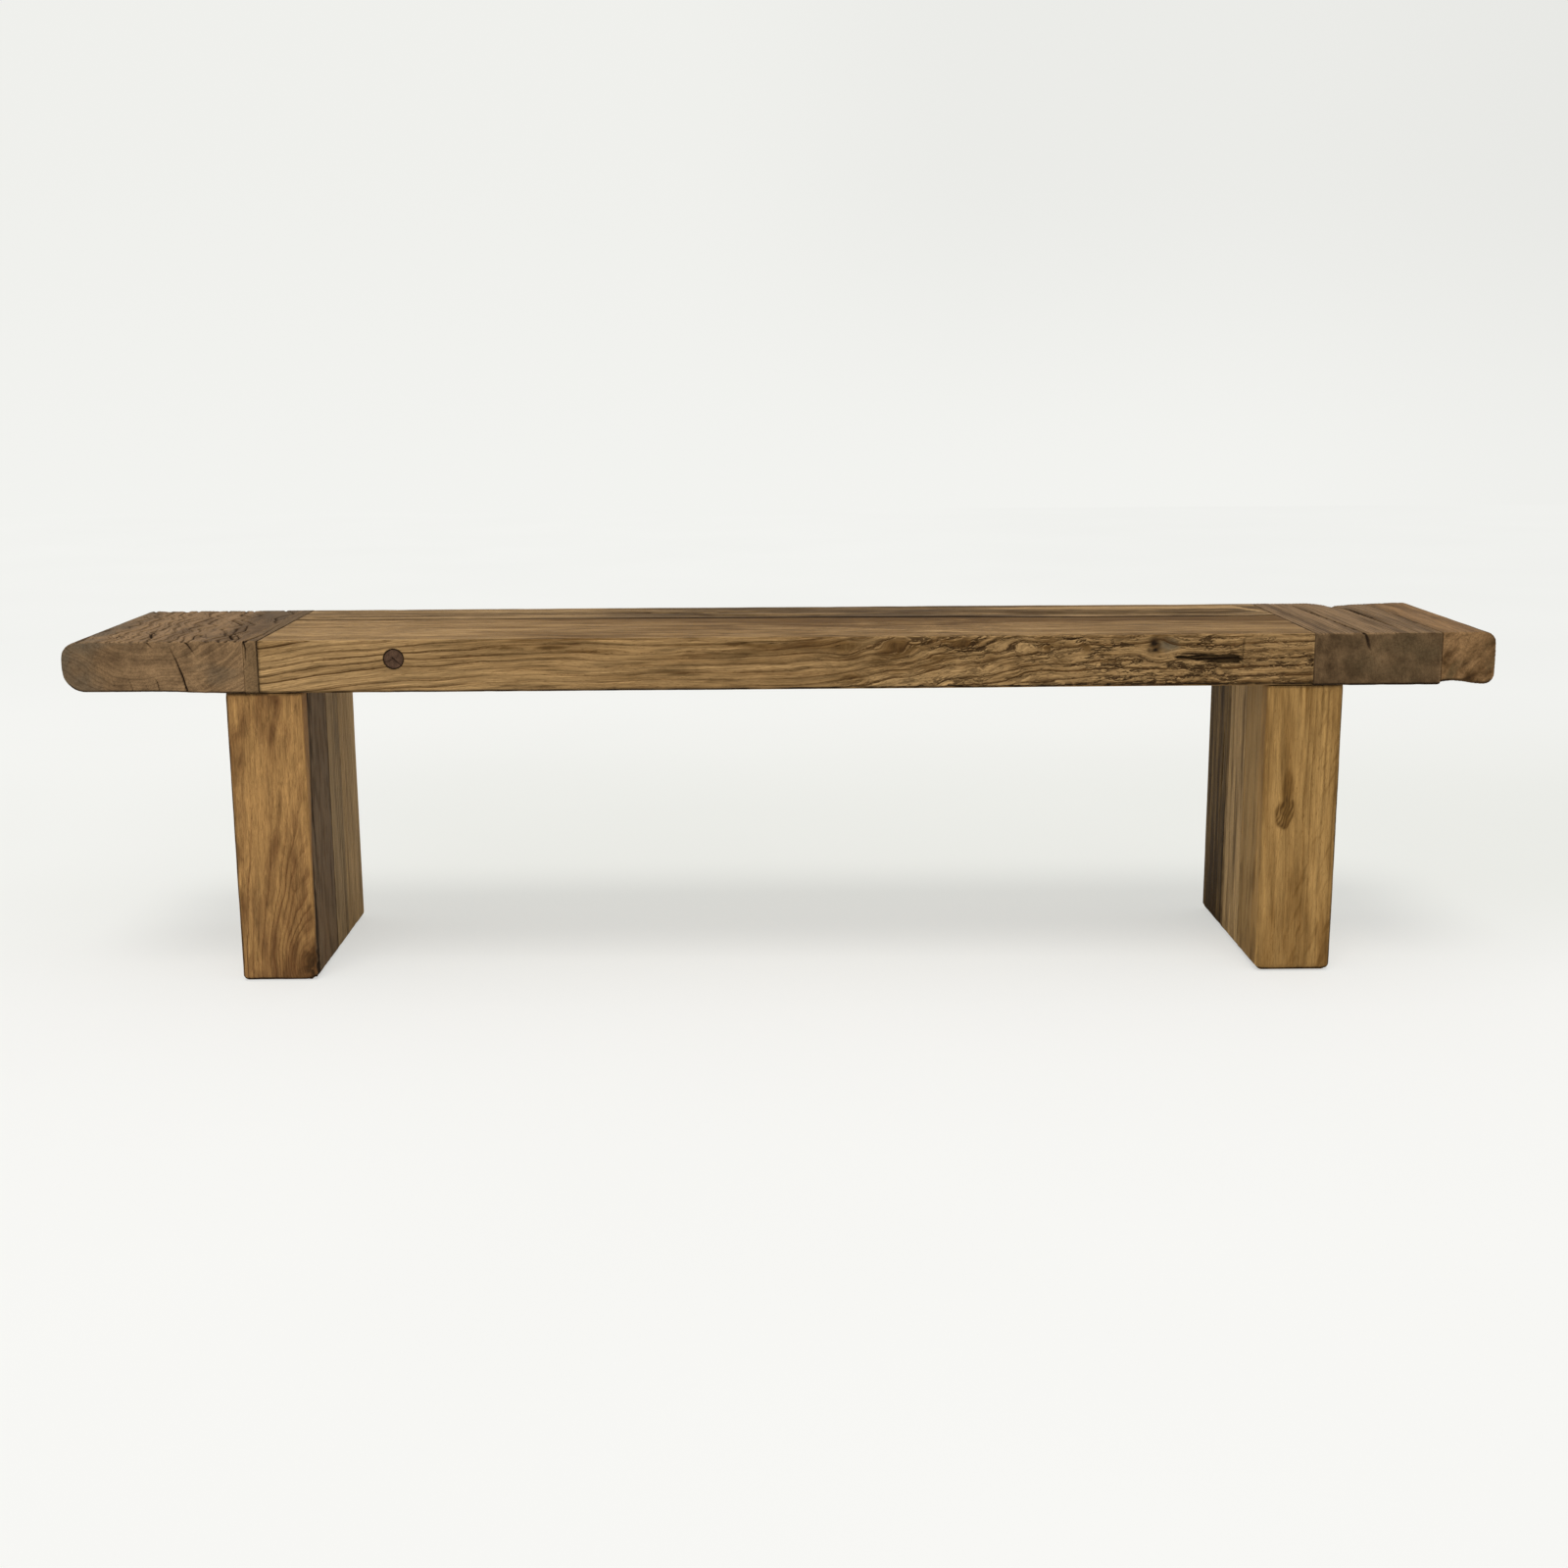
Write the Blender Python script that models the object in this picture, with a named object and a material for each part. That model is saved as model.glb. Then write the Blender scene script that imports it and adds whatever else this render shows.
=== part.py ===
"""A low bench of reclaimed oak: two long beams between crosswise end timbers, on two slab legs.

Metres, +Z up. The origin is on the floor under the middle of the bench. +X runs along the bench
and -Y is its front. Every timber is a loft of rounded rings, eased at both ends. Loose tenons,
dowels and rods hold the timbers together, each in a bore cut from the same sizes plus a named gap.
"""

import math

import bmesh
import bpy
from mathutils import Vector

# The whole bench
BENCH_LENGTH = 1.830
BENCH_DEPTH = 0.335
SEAT_HEIGHT = 0.450
TOP_THICKNESS = 0.068

# Gaps: the glue line between two timbers, and the play of a tenon or dowel in its bore
SEAM_GAP = 0.0003
FIT_GAP = 0.0003

# How far a cutter runs past the face that it cuts
OVERRUN = 0.004

# The crosswise end timbers, measured along the bench
LEFT_BLOCK_WIDTH = 0.232
LEFT_SLIP_WIDTH = 0.018
RIGHT_INNER_WIDTH = 0.1635
RIGHT_OUTER_WIDTH = 0.0705

# The line where the two long beams meet runs a little askew: how far it is behind the front face
SEAM_BEHIND_FRONT_LEFT = 0.222
SEAM_BEHIND_FRONT_RIGHT = 0.194

# The legs: each is three posts side by side, under the joint of an end timber and the beams
LEG_THICKNESS = 0.098
LEG_DEPTH = 0.318
LEG_FRONT_INSET = 0.003
LEFT_LEG_UNDER_BLOCK = 0.0275
RIGHT_LEG_UNDER_BLOCK = 0.0415
LEFT_FRONT_POST_DEPTH = 0.134
LEFT_MIDDLE_POST_DEPTH = 0.077
RIGHT_FRONT_POST_DEPTH = 0.105
RIGHT_MIDDLE_POST_DEPTH = 0.098

# Arrises: the radius of a worn long edge, of an edge at a glue line, and the least radius kept
WORN_ARRIS = 0.006
SEAM_ARRIS = 0.0018
LEAST_ARRIS = 0.0004
END_EASE = 0.005
HIDDEN_EASE = 0.0012
LEG_ARRIS = 0.0065
LEFT_FOOT_EASE = 0.0075
RIGHT_FOOT_EASE = 0.011
SHARP_ABOVE_DEGREES = 35

# A quarter round has as many steps as the root of its radius over this length
STEP_RADIUS = 0.0005

# The left end is worn to a bullnose, with a larger round below than above
BULLNOSE_TOP_RADIUS = 0.024
BULLNOSE_UNDER_RADIUS = 0.030
LARGEST_ROUND_SHARE = 0.46

# The right end keeps a fuller section and a hollow under its outer timber
RIGHT_END_TOP_RADIUS = 0.016
RIGHT_END_UNDER_RADIUS = 0.014
INNER_UNDER_RADIUS = 0.005
LEFT_UNDERSIDE_RISE = 0.003
OUTER_UNDERSIDE_RISE = 0.005
OUTER_UNDERSIDE_SHARES = ((0.0, 0.7), (0.22, 1.0), (0.45, 0.65), (0.7, 0.08), (1.0, 0.0))

# Wear along the beams from left to right, as shares of the largest radius at each arris
FRONT_UNDER_ARRIS = 0.010
REAR_SEAM_ARRIS = 0.009
BEAM_STATION_SHARES = (0.0, 0.12, 0.26, 0.40, 0.55, 0.68, 0.80, 0.92, 1.0)
FRONT_UNDER_WEAR_SHARES = (0.35, 0.55, 0.45, 0.40, 0.50, 0.62, 0.85, 1.0, 0.9)
FRONT_TOP_WEAR_SHARES = (0.6, 0.95, 0.7, 0.6, 0.85, 0.7, 1.0, 0.8, 0.6)
REAR_SEAM_WEAR_SHARES = (0.2, 0.25, 0.2, 0.45, 0.6, 0.3, 0.85, 1.0, 0.5)

# Loose tenons between the end timbers and the beams
TENON_WIDTH = 0.045
TENON_THICKNESS = 0.016
TENON_REACH = 0.045
TENON_BELOW_TOP = 0.024
TENON_SPACING_SHARES = (0.28, 0.72)
TENON_EDGE_SHARE = 0.46

# Dowels, by diameter and by how far each reaches into a timber
DOWEL_SIDES = 12
DOWEL_CHAMFER = 0.0015
LEG_DOWEL_DIAMETER = 0.014
LEG_DOWEL_DROP = 0.060
WOOD_OVER_LEG_DOWEL = 0.006
ROD_DIAMETER = 0.016
ROD_REACH = 0.040
ROD_HEIGHT_SHARES = (0.27, 0.70)
EDGE_DOWEL_DIAMETER = 0.014
EDGE_DOWEL_REACH = 0.040
EDGE_DOWEL_COUNT = 5
BLOCK_DOWEL_DIAMETER = 0.014
BLOCK_DOWEL_REACH = 0.034
BLOCK_DOWEL_SHARES = (0.2, 0.5, 0.8)

# The dark peg that fills an old hole in the front beam
PEG_DIAMETER = 0.025
PEG_LENGTH = 0.045
PEG_CLEARANCE = 0.0006
PEG_RECESS = 0.0008
PEG_CHAMFER = 0.0012
PEG_SIDES = 24
PEG_FROM_JOINT = 0.172
PEG_BELOW_TOP = 0.0245

# The old mortise in the front beam, near its right end: a slot that tapers to a point
SLOT_LENGTH = 0.078
SLOT_HEIGHT = 0.014
SLOT_DEPTH = 0.012
SLOT_FROM_JOINT = 0.094
SLOT_BELOW_TOP = 0.024
SLOT_OUTLINE_SHARES = ((0.0, 0.42), (0.3, 0.1), (1.0, 0.0), (1.0, 0.92), (0.45, 1.0))

# Open shakes, the long splits that the timbers dried with: their width and depth at the widest
TOP_SHAKE_WIDTH = 0.0034
TOP_SHAKE_DEPTH = 0.011
END_SHAKE_WIDTH = 0.0026
END_SHAKE_DEPTH = 0.012
NOTCH_WIDTH = 0.026
NOTCH_DEPTH = 0.009
CHIP_WIDTH = 0.010
CHIP_DEPTH = 0.005
TIP_SHARE = 0.08

# Each shake is a route over a face: shares of the timber's width and of its depth or height,
# and then the shares of the full width and depth that the shake has there
LEFT_TOP_SHAKES_SHARES = (
    ((0.46, 0.07, 0.3), (0.44, 0.16, 1.0), (0.40, 0.27, 0.9), (0.37, 0.42, 0.4)),
    ((0.90, -0.02, 0.7), (0.93, 0.08, 1.0), (0.87, 0.20, 0.9), (0.91, 0.34, 0.8), (0.86, 0.5, 0.4)),
    ((0.69, -0.02, 0.8), (0.71, 0.06, 0.9), (0.66, 0.17, 0.6), (0.69, 0.30, 0.3)),
    ((0.22, 0.04, 0.4), (0.25, 0.13, 0.8), (0.21, 0.26, 0.3)),
)
LEFT_END_SHAKES_SHARES = (
    ((0.605, 0.88, 0.3), (0.645, 0.60, 0.9), (0.667, 0.32, 1.0), (0.69, -0.06, 0.8)),
    ((0.69, 1.06, 0.9), (0.715, 0.88, 1.0), (0.742, 0.72, 0.3)),
)
RIGHT_TOP_SHAKE_SHARES = ((0.385, -0.02, 0.9), (0.37, 0.25, 0.8), (0.345, 0.55, 1.0), (0.32, 0.89, 0.4))
NOTCHED_SHAKE_SHARES = (
    (0.73, 0.12, 0.05, 0.3),
    (0.725, 0.35, 0.10, 1.0),
    (0.72, 0.70, 0.14, 1.0),
    (0.70, 0.88, 0.35, 0.9),
    (0.65, 1.02, 1.0, 1.0),
)
CHIP_SHARES = ((0.37, 1.08, 0.7), (0.395, 0.86, 1.0), (0.45, 0.62, 0.25))

# Colours of the waxed oak, linear, and its finish
GOLDEN_OAK = (0.27, 0.150, 0.052)
HONEY_OAK = (0.25, 0.152, 0.060)
BROWN_OAK = (0.185, 0.112, 0.058)
GREY_OAK = (0.145, 0.098, 0.053)
DARK_OAK = (0.095, 0.060, 0.032)
PALE_OAK = (0.32, 0.21, 0.11)
WAXED_ROUGHNESS = 0.55

# Places worked out from the sizes above
LEFT_END = -BENCH_LENGTH / 2
RIGHT_END = BENCH_LENGTH / 2
FRONT = -BENCH_DEPTH / 2
BACK = BENCH_DEPTH / 2
UNDERSIDE = SEAT_HEIGHT - TOP_THICKNESS
BLOCK_EDGE = LEFT_END + LEFT_BLOCK_WIDTH
LEFT_JOINT = BLOCK_EDGE + LEFT_SLIP_WIDTH
RIGHT_OUTER_EDGE = RIGHT_END - RIGHT_OUTER_WIDTH
RIGHT_JOINT = RIGHT_OUTER_EDGE - RIGHT_INNER_WIDTH
LEG_TOP = UNDERSIDE - SEAM_GAP
LEG_FRONT = FRONT + LEG_FRONT_INSET
LEG_BACK = LEG_FRONT + LEG_DEPTH
LEFT_LEG_OUTER = BLOCK_EDGE - LEFT_LEG_UNDER_BLOCK
LEFT_LEG_INNER = LEFT_LEG_OUTER + LEG_THICKNESS
RIGHT_LEG_OUTER = RIGHT_JOINT + RIGHT_LEG_UNDER_BLOCK
RIGHT_LEG_INNER = RIGHT_LEG_OUTER - LEG_THICKNESS
TENON_HEIGHT = SEAT_HEIGHT - TENON_BELOW_TOP
LEG_DOWEL_TOP = TENON_HEIGHT - TENON_THICKNESS / 2 - WOOD_OVER_LEG_DOWEL
DOWEL_HEIGHT = UNDERSIDE + TOP_THICKNESS / 2


def clear_scene():
    for thing in list(bpy.data.objects):
        bpy.data.objects.remove(thing)


def wood(name, colour):
    """The waxed finish of one timber."""
    material = bpy.data.materials.new(name)
    material.use_nodes = True
    shader = material.node_tree.nodes["Principled BSDF"]
    shader.inputs["Base Color"].default_value = (*colour, 1.0)
    shader.inputs["Roughness"].default_value = WAXED_ROUGHNESS
    shader.inputs["Metallic"].default_value = 0.0
    return material


def group(name, location, parent=None):
    """An empty that carries the timbers of one sub-assembly."""
    empty = bpy.data.objects.new(name, None)
    empty.location = location
    empty.parent = parent
    bpy.context.scene.collection.objects.link(empty)
    return empty


def placed(axis, u, v, w):
    """A point of a section (u, v), w along the timber's axis, as a point of the bench."""
    return {"X": (w, u, v), "Y": (u, w, v), "Z": (u, v, w)}[axis]


def add_loft(shape, rings):
    """Adds to a bmesh a closed solid through rings of as many points each, flat at both ends."""
    loops = [[shape.verts.new(point) for point in ring] for ring in rings]
    for near, far in zip(loops, loops[1:]):
        for i in range(len(near)):
            j = (i + 1) % len(near)
            shape.faces.new((near[i], near[j], far[j], far[i]))
    shape.faces.new(list(reversed(loops[0])))
    shape.faces.new(loops[-1])


def finished(name, shape, parent=None, material=None):
    """The bmesh as an object whose origin is at its own middle, carried by its parent."""
    bmesh.ops.recalc_face_normals(shape, faces=shape.faces)
    low = Vector([min(vert.co[k] for vert in shape.verts) for k in range(3)])
    high = Vector([max(vert.co[k] for vert in shape.verts) for k in range(3)])
    middle = (low + high) / 2
    bmesh.ops.translate(shape, verts=shape.verts, vec=-middle)
    mesh = bpy.data.meshes.new(name)
    shape.to_mesh(mesh)
    shape.free()
    piece = bpy.data.objects.new(name, mesh)
    bpy.context.scene.collection.objects.link(piece)
    piece.parent = parent
    piece.location = middle - (parent.location if parent else Vector())
    if material:
        mesh.materials.append(material)
        mesh.shade_smooth()
        mesh.set_sharp_from_angle(angle=math.radians(SHARP_ABOVE_DEGREES))
    else:
        piece.hide_render = True
        piece.display_type = "WIRE"
    return piece


def cut(piece, *cutters):
    """Cuts each closed cutter from a piece."""
    for cutter in cutters:
        boolean = piece.modifiers.new(cutter.name, "BOOLEAN")
        boolean.operation = "DIFFERENCE"
        boolean.solver = "EXACT"
        boolean.object = cutter


def steps_for(radius):
    """How many straight steps a quarter round of a radius is drawn with."""
    return max(1, round(math.sqrt(radius / STEP_RADIUS)))


def rounded_ring(sides, radii, steps, underside):
    """A rounded rectangle, anticlockwise: sides are its low and high u and its low and high v.

    radii and steps are those of the corners low-low, high-low, high-high and low-high. underside
    lists how far the low side is lifted at shares of its length, first and last at the corners.
    """
    low_u, high_u, low_v, high_v = sides
    corners = (
        (low_u, low_v + underside[0][1], 1, 1),
        (high_u, low_v + underside[-1][1], -1, 1),
        (high_u, high_v, -1, -1),
        (low_u, high_v, 1, -1),
    )
    points = []
    for quarter, (u, v, towards_u, towards_v) in enumerate(corners):
        radius = radii[quarter]
        for step in range(steps[quarter] + 1):
            angle = math.pi + math.pi / 2 * (quarter + step / steps[quarter])
            points.append(
                (
                    u + radius * (towards_u + math.cos(angle)),
                    v + radius * (towards_v + math.sin(angle)),
                )
            )
        if quarter == 0:
            points += [(low_u + share * (high_u - low_u), low_v + lift) for share, lift in underside[1:-1]]
    return points


def eased_end(place, inwards, ease):
    """Stations of the quarter round at one end: each a place along the timber and an inset share."""
    reach = ease[0]
    count = steps_for(reach)
    turns = [math.pi / 2 * step / count for step in range(count + 1)]
    return [(place + inwards * reach * (1 - math.cos(turn)), 1 - math.sin(turn)) for turn in turns]


def timber_rings(axis, span, section, start_ease, end_ease, stations=(0.0, 1.0), underside=None):
    """The rings of a timber along its axis, with a quarter round at each end.

    section(share) gives the sides and the corner radii at a share of the length. An ease is a
    pair: how far the round runs along the timber, and how far in it comes from each side.
    """
    underside = underside or ((0.0, 0.0), (1.0, 0.0))
    start, end = span
    largest = [max(section(share)[1][corner] for share in stations) for corner in range(4)]
    steps = [steps_for(radius) for radius in largest]
    near = [(w, 0.0, inset, start_ease) for w, inset in eased_end(start, 1, start_ease)]
    middle = [(start + share * (end - start), share, 0.0, end_ease) for share in stations[1:-1]]
    far = [(w, 1.0, inset, end_ease) for w, inset in reversed(eased_end(end, -1, end_ease))]
    rings = []
    for w, share, inset_share, ease in near + middle + far:
        (low_u, high_u, low_v, high_v), radii = section(share)
        in_u0, in_u1, in_v0, in_v1 = (inset_share * inset for inset in ease[1])
        sides = (low_u + in_u0, high_u - in_u1, low_v + in_v0, high_v - in_v1)
        insets = ((in_u0 + in_v0) / 2, (in_u1 + in_v0) / 2, (in_u1 + in_v1) / 2, (in_u0 + in_v1) / 2)
        eased = [max(radius - inset, LEAST_ARRIS) for radius, inset in zip(radii, insets)]
        rings.append([placed(axis, u, v, w) for u, v in rounded_ring(sides, eased, steps, underside)])
    return rings


def rod_rings(axis, centre, length, radius, sides, chamfer=0.0):
    """The rings of a round rod along an axis, with chamfered ends where a chamfer is given."""
    u, v, w = centre
    half = length / 2
    steps = [(-half, radius - chamfer), (half, radius - chamfer)]
    if chamfer:
        steps[1:1] = [(chamfer - half, radius), (half - chamfer, radius)]
    turns = [2 * math.pi * side / sides for side in range(sides)]
    return [[placed(axis, u + r * math.cos(a), v + r * math.sin(a), w + along) for a in turns] for along, r in steps]


def repeated(name, shape, places, parent, material):
    """Pieces of one shape, centred on the origin, put at each place: each is its own object."""
    first = finished(name + "_1", shape, parent, material)
    pieces = [first]
    for i in range(1, len(places)):
        copy = first.copy()
        copy.name = name + "_" + str(i + 1)
        bpy.context.scene.collection.objects.link(copy)
        pieces.append(copy)
    for piece, place in zip(pieces, places):
        piece.location = Vector(place) - parent.location
    return pieces


def rods(name, axis, centres, length, diameter, parent, material):
    """Like rods with chamfered ends, and the cutter of their bores. centres are (u, v, w)."""
    solid, bores = bmesh.new(), bmesh.new()
    radius = diameter / 2
    add_loft(solid, rod_rings(axis, (0, 0, 0), length, radius, DOWEL_SIDES, DOWEL_CHAMFER))
    for centre in centres:
        add_loft(bores, rod_rings(axis, centre, length + 2 * FIT_GAP, radius + FIT_GAP, DOWEL_SIDES))
    pieces = repeated(name, solid, [placed(axis, *centre) for centre in centres], parent, material)
    return pieces, finished(name + "_bores", bores)


def shake_cutter(name, routes, inward):
    """A wedge along each route: points on the face, each with the shake's width and depth there.

    The wedge starts above the face, narrows to its root below it, and rises out at both tips.
    """
    shape = bmesh.new()
    inward = Vector(inward)
    for route in routes:
        points = [Vector(point) for point, _, _ in route]
        sections = []
        for i, (_, width, depth) in enumerate(route):
            heading = points[min(i + 1, len(points) - 1)] - points[max(i - 1, 0)]
            across = heading.cross(inward).normalized() * width / 2
            raised = points[i] - inward * OVERRUN
            sections.append((raised - across, raised + across, points[i] + inward * depth))
        for end, beside in ((0, 1), (-1, -2)):
            tip = points[end] + (points[end] - points[beside]) * TIP_SHARE
            across = (sections[end][1] - sections[end][0]) * TIP_SHARE / 2
            raised = tip - inward * OVERRUN
            last = (raised - across, raised + across, tip - inward * OVERRUN / 2)
            sections.insert(0 if end == 0 else len(sections), last)
        add_loft(shape, sections)
    return finished(name, shape)


def top_route(shares, low_x, width, full_width, full_depth):
    """A route over the seat from shares of a crosswise timber's width and of the bench's depth."""
    return [
        ((low_x + a * width, FRONT + b * BENCH_DEPTH, SEAT_HEIGHT), c * full_width, c * full_depth)
        for a, b, c in shares
    ]


def end_route(shares, low_x, width, full_width, full_depth):
    """A route over a timber's front end from shares of its width and of the top's thickness."""
    return [
        ((low_x + a * width, FRONT, UNDERSIDE + b * TOP_THICKNESS), c * full_width, c * full_depth)
        for a, b, c in shares
    ]


def crosswise_timber(name, low_x, high_x, radii, parent, material, underside=None, exposed=(False, False)):
    """A timber that lies across the bench, with its end grain at the front and the back.

    exposed says whether its low and its high side in X are outer faces of the bench.
    """
    inner_u = [END_EASE if shown else HIDDEN_EASE for shown in exposed]
    ease = (END_EASE, (*inner_u, END_EASE, END_EASE))
    largest = LARGEST_ROUND_SHARE * TOP_THICKNESS
    rounds = [min(radius, largest) for radius in radii]
    sides = (low_x, high_x, UNDERSIDE, SEAT_HEIGHT)
    shape = bmesh.new()
    rings = timber_rings("Y", (FRONT, BACK), lambda share: (sides, rounds), ease, ease, underside=underside)
    add_loft(shape, rings)
    return finished(name, shape, parent, material)


def seam_between_beams(share):
    """How far back the line between the two beams lies, at a share of the way along them."""
    behind = SEAM_BEHIND_FRONT_LEFT + share * (SEAM_BEHIND_FRONT_RIGHT - SEAM_BEHIND_FRONT_LEFT)
    return FRONT + behind


def worn(shares, share):
    """A wear table read at a share of the beam's length."""
    return shares[BEAM_STATION_SHARES.index(share)]


def front_beam_section(share):
    radii = (
        FRONT_UNDER_ARRIS * worn(FRONT_UNDER_WEAR_SHARES, share),
        SEAM_ARRIS,
        SEAM_ARRIS,
        WORN_ARRIS * worn(FRONT_TOP_WEAR_SHARES, share),
    )
    return (FRONT, seam_between_beams(share) - SEAM_GAP / 2, UNDERSIDE, SEAT_HEIGHT), radii


def rear_beam_section(share):
    radii = (SEAM_ARRIS, WORN_ARRIS, WORN_ARRIS, REAR_SEAM_ARRIS * worn(REAR_SEAM_WEAR_SHARES, share))
    return (seam_between_beams(share) + SEAM_GAP / 2, BACK, UNDERSIDE, SEAT_HEIGHT), radii


def long_beam(name, section, parent, material):
    """A beam that runs along the bench between the end timbers."""
    ease = (HIDDEN_EASE, (HIDDEN_EASE,) * 4)
    span = (LEFT_JOINT + SEAM_GAP / 2, RIGHT_JOINT - SEAM_GAP / 2)
    shape = bmesh.new()
    add_loft(shape, timber_rings("X", span, section, ease, ease, BEAM_STATION_SHARES))
    return finished(name, shape, parent, material)


def tenon_rings(centre, length, gap):
    """The rings of a loose tenon with round edges, larger all round by a gap."""
    x, y, z = centre
    half_width = TENON_WIDTH / 2 + gap
    half_height = TENON_THICKNESS / 2 + gap
    sides = (y - half_width, y + half_width, z - half_height, z + half_height)
    radii = (TENON_THICKNESS * TENON_EDGE_SHARE + gap,) * 4
    ease = (DOWEL_CHAMFER, (DOWEL_CHAMFER,) * 4)
    span = (x - length / 2 - gap, x + length / 2 + gap)
    return timber_rings("X", span, lambda share: (sides, radii), ease, ease)


def tenons(name, joint_low, joint_high, share, parent, material):
    """Three loose tenons across the joint between an end timber and the beams, and their mortises.

    share says which end of the beams the joint is at. Two tenons are in the front beam and one is
    in the rear beam.
    """
    seam = seam_between_beams(share)
    rows = [FRONT + spacing * (seam - FRONT) for spacing in TENON_SPACING_SHARES] + [(seam + BACK) / 2]
    places = [((joint_low + joint_high) / 2, row, TENON_HEIGHT) for row in rows]
    length = joint_high - joint_low + 2 * TENON_REACH
    solid, mortises = bmesh.new(), bmesh.new()
    add_loft(solid, tenon_rings((0, 0, 0), length, 0))
    for place in places:
        add_loft(mortises, tenon_rings(place, length, FIT_GAP))
    return repeated(name, solid, places, parent, material), finished(name + "_mortises", mortises)


def post(name, low_x, high_x, front, back, foot_ease, shown, parent, material):
    """One upright post of a leg. shown says whether its front and its back are outer faces."""
    front_radius, back_radius = (LEG_ARRIS if face else SEAM_ARRIS for face in shown)
    radii = (front_radius, front_radius, back_radius, back_radius)
    in_front, in_back = (foot_ease if face else SEAM_ARRIS for face in shown)
    foot = (foot_ease, (foot_ease, foot_ease, in_front, in_back))
    head = (HIDDEN_EASE, (HIDDEN_EASE,) * 4)
    sides = (low_x, high_x, front, back)
    shape = bmesh.new()
    add_loft(shape, timber_rings("Z", (0.0, LEG_TOP), lambda share: (sides, radii), foot, head))
    return finished(name, shape, parent, material)


def leg(side, low_x, high_x, joint, front_depth, middle_depth, foot_ease, colours, bench):
    """A leg of three posts, the rods that cross them and the dowels up into the top.

    joint is the pair of places in X between which no dowel stands: the edge of the end timber
    and the ends of the beams. Returns the cutter of the bores that the dowels need in the top.
    """
    name = side + "_leg"
    carrier = group(name, Vector(((low_x + high_x) / 2, (LEG_FRONT + LEG_BACK) / 2, 0.0)), bench)
    first_seam = LEG_FRONT + front_depth
    second_seam = first_seam + middle_depth
    half_gap = SEAM_GAP / 2
    spans = (
        ("front", LEG_FRONT, first_seam - half_gap, (True, False)),
        ("middle", first_seam + half_gap, second_seam - half_gap, (False, False)),
        ("rear", second_seam + half_gap, LEG_BACK, (False, True)),
    )
    posts = []
    for (which, front, back, shown), colour in zip(spans, colours):
        title = name + "_" + which + "_post"
        posts.append(post(title, low_x, high_x, front, back, foot_ease, shown, carrier, wood(title, colour)))

    rod_middle = (first_seam + second_seam) / 2
    rod_centres = [((low_x + high_x) / 2, height * LEG_TOP, rod_middle) for height in ROD_HEIGHT_SHARES]
    rod_length = middle_depth + 2 * ROD_REACH
    title = name + "_cross_rod"
    _, rod_bores = rods(title, "Y", rod_centres, rod_length, ROD_DIAMETER, carrier, wood(title, PALE_OAK))

    columns = ((low_x + joint[0]) / 2, (joint[1] + high_x) / 2)
    rows = [(front + back) / 2 for _, front, back, _ in spans]
    dowel_bottom = UNDERSIDE - LEG_DOWEL_DROP
    dowel_length = LEG_DOWEL_TOP - dowel_bottom
    dowel_centres = [(x, y, (LEG_DOWEL_TOP + dowel_bottom) / 2) for x in columns for y in rows]
    title = name + "_top_dowel"
    material = wood(title, PALE_OAK)
    _, dowel_bores = rods(title, "Z", dowel_centres, dowel_length, LEG_DOWEL_DIAMETER, carrier, material)
    for piece in posts:
        cut(piece, rod_bores, dowel_bores)
    return dowel_bores


def left_end(seat):
    """The wide left block with its bullnose, and the slip between it and the beams."""
    half_gap = SEAM_GAP / 2
    flat_from = (LEFT_LEG_OUTER - LEFT_END) / LEFT_BLOCK_WIDTH
    block = crosswise_timber(
        "left_end_block",
        LEFT_END,
        BLOCK_EDGE - half_gap,
        (BULLNOSE_UNDER_RADIUS, SEAM_ARRIS, SEAM_ARRIS, BULLNOSE_TOP_RADIUS),
        seat,
        wood("left_end_block", BROWN_OAK),
        underside=((0.0, LEFT_UNDERSIDE_RISE), (flat_from, 0.0), (1.0, 0.0)),
        exposed=(True, False),
    )
    size = (LEFT_END, LEFT_BLOCK_WIDTH)
    routes = [top_route(route, *size, TOP_SHAKE_WIDTH, TOP_SHAKE_DEPTH) for route in LEFT_TOP_SHAKES_SHARES]
    cut(block, shake_cutter("left_top_shakes", routes, (0, 0, -1)))
    routes = [end_route(route, *size, END_SHAKE_WIDTH, END_SHAKE_DEPTH) for route in LEFT_END_SHAKES_SHARES]
    cut(block, shake_cutter("left_end_shakes", routes, (0, 1, 0)))
    slip = crosswise_timber(
        "left_end_slip",
        BLOCK_EDGE + half_gap,
        LEFT_JOINT - half_gap,
        (SEAM_ARRIS,) * 4,
        seat,
        wood("left_end_slip", GREY_OAK),
    )
    return block, slip


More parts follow.
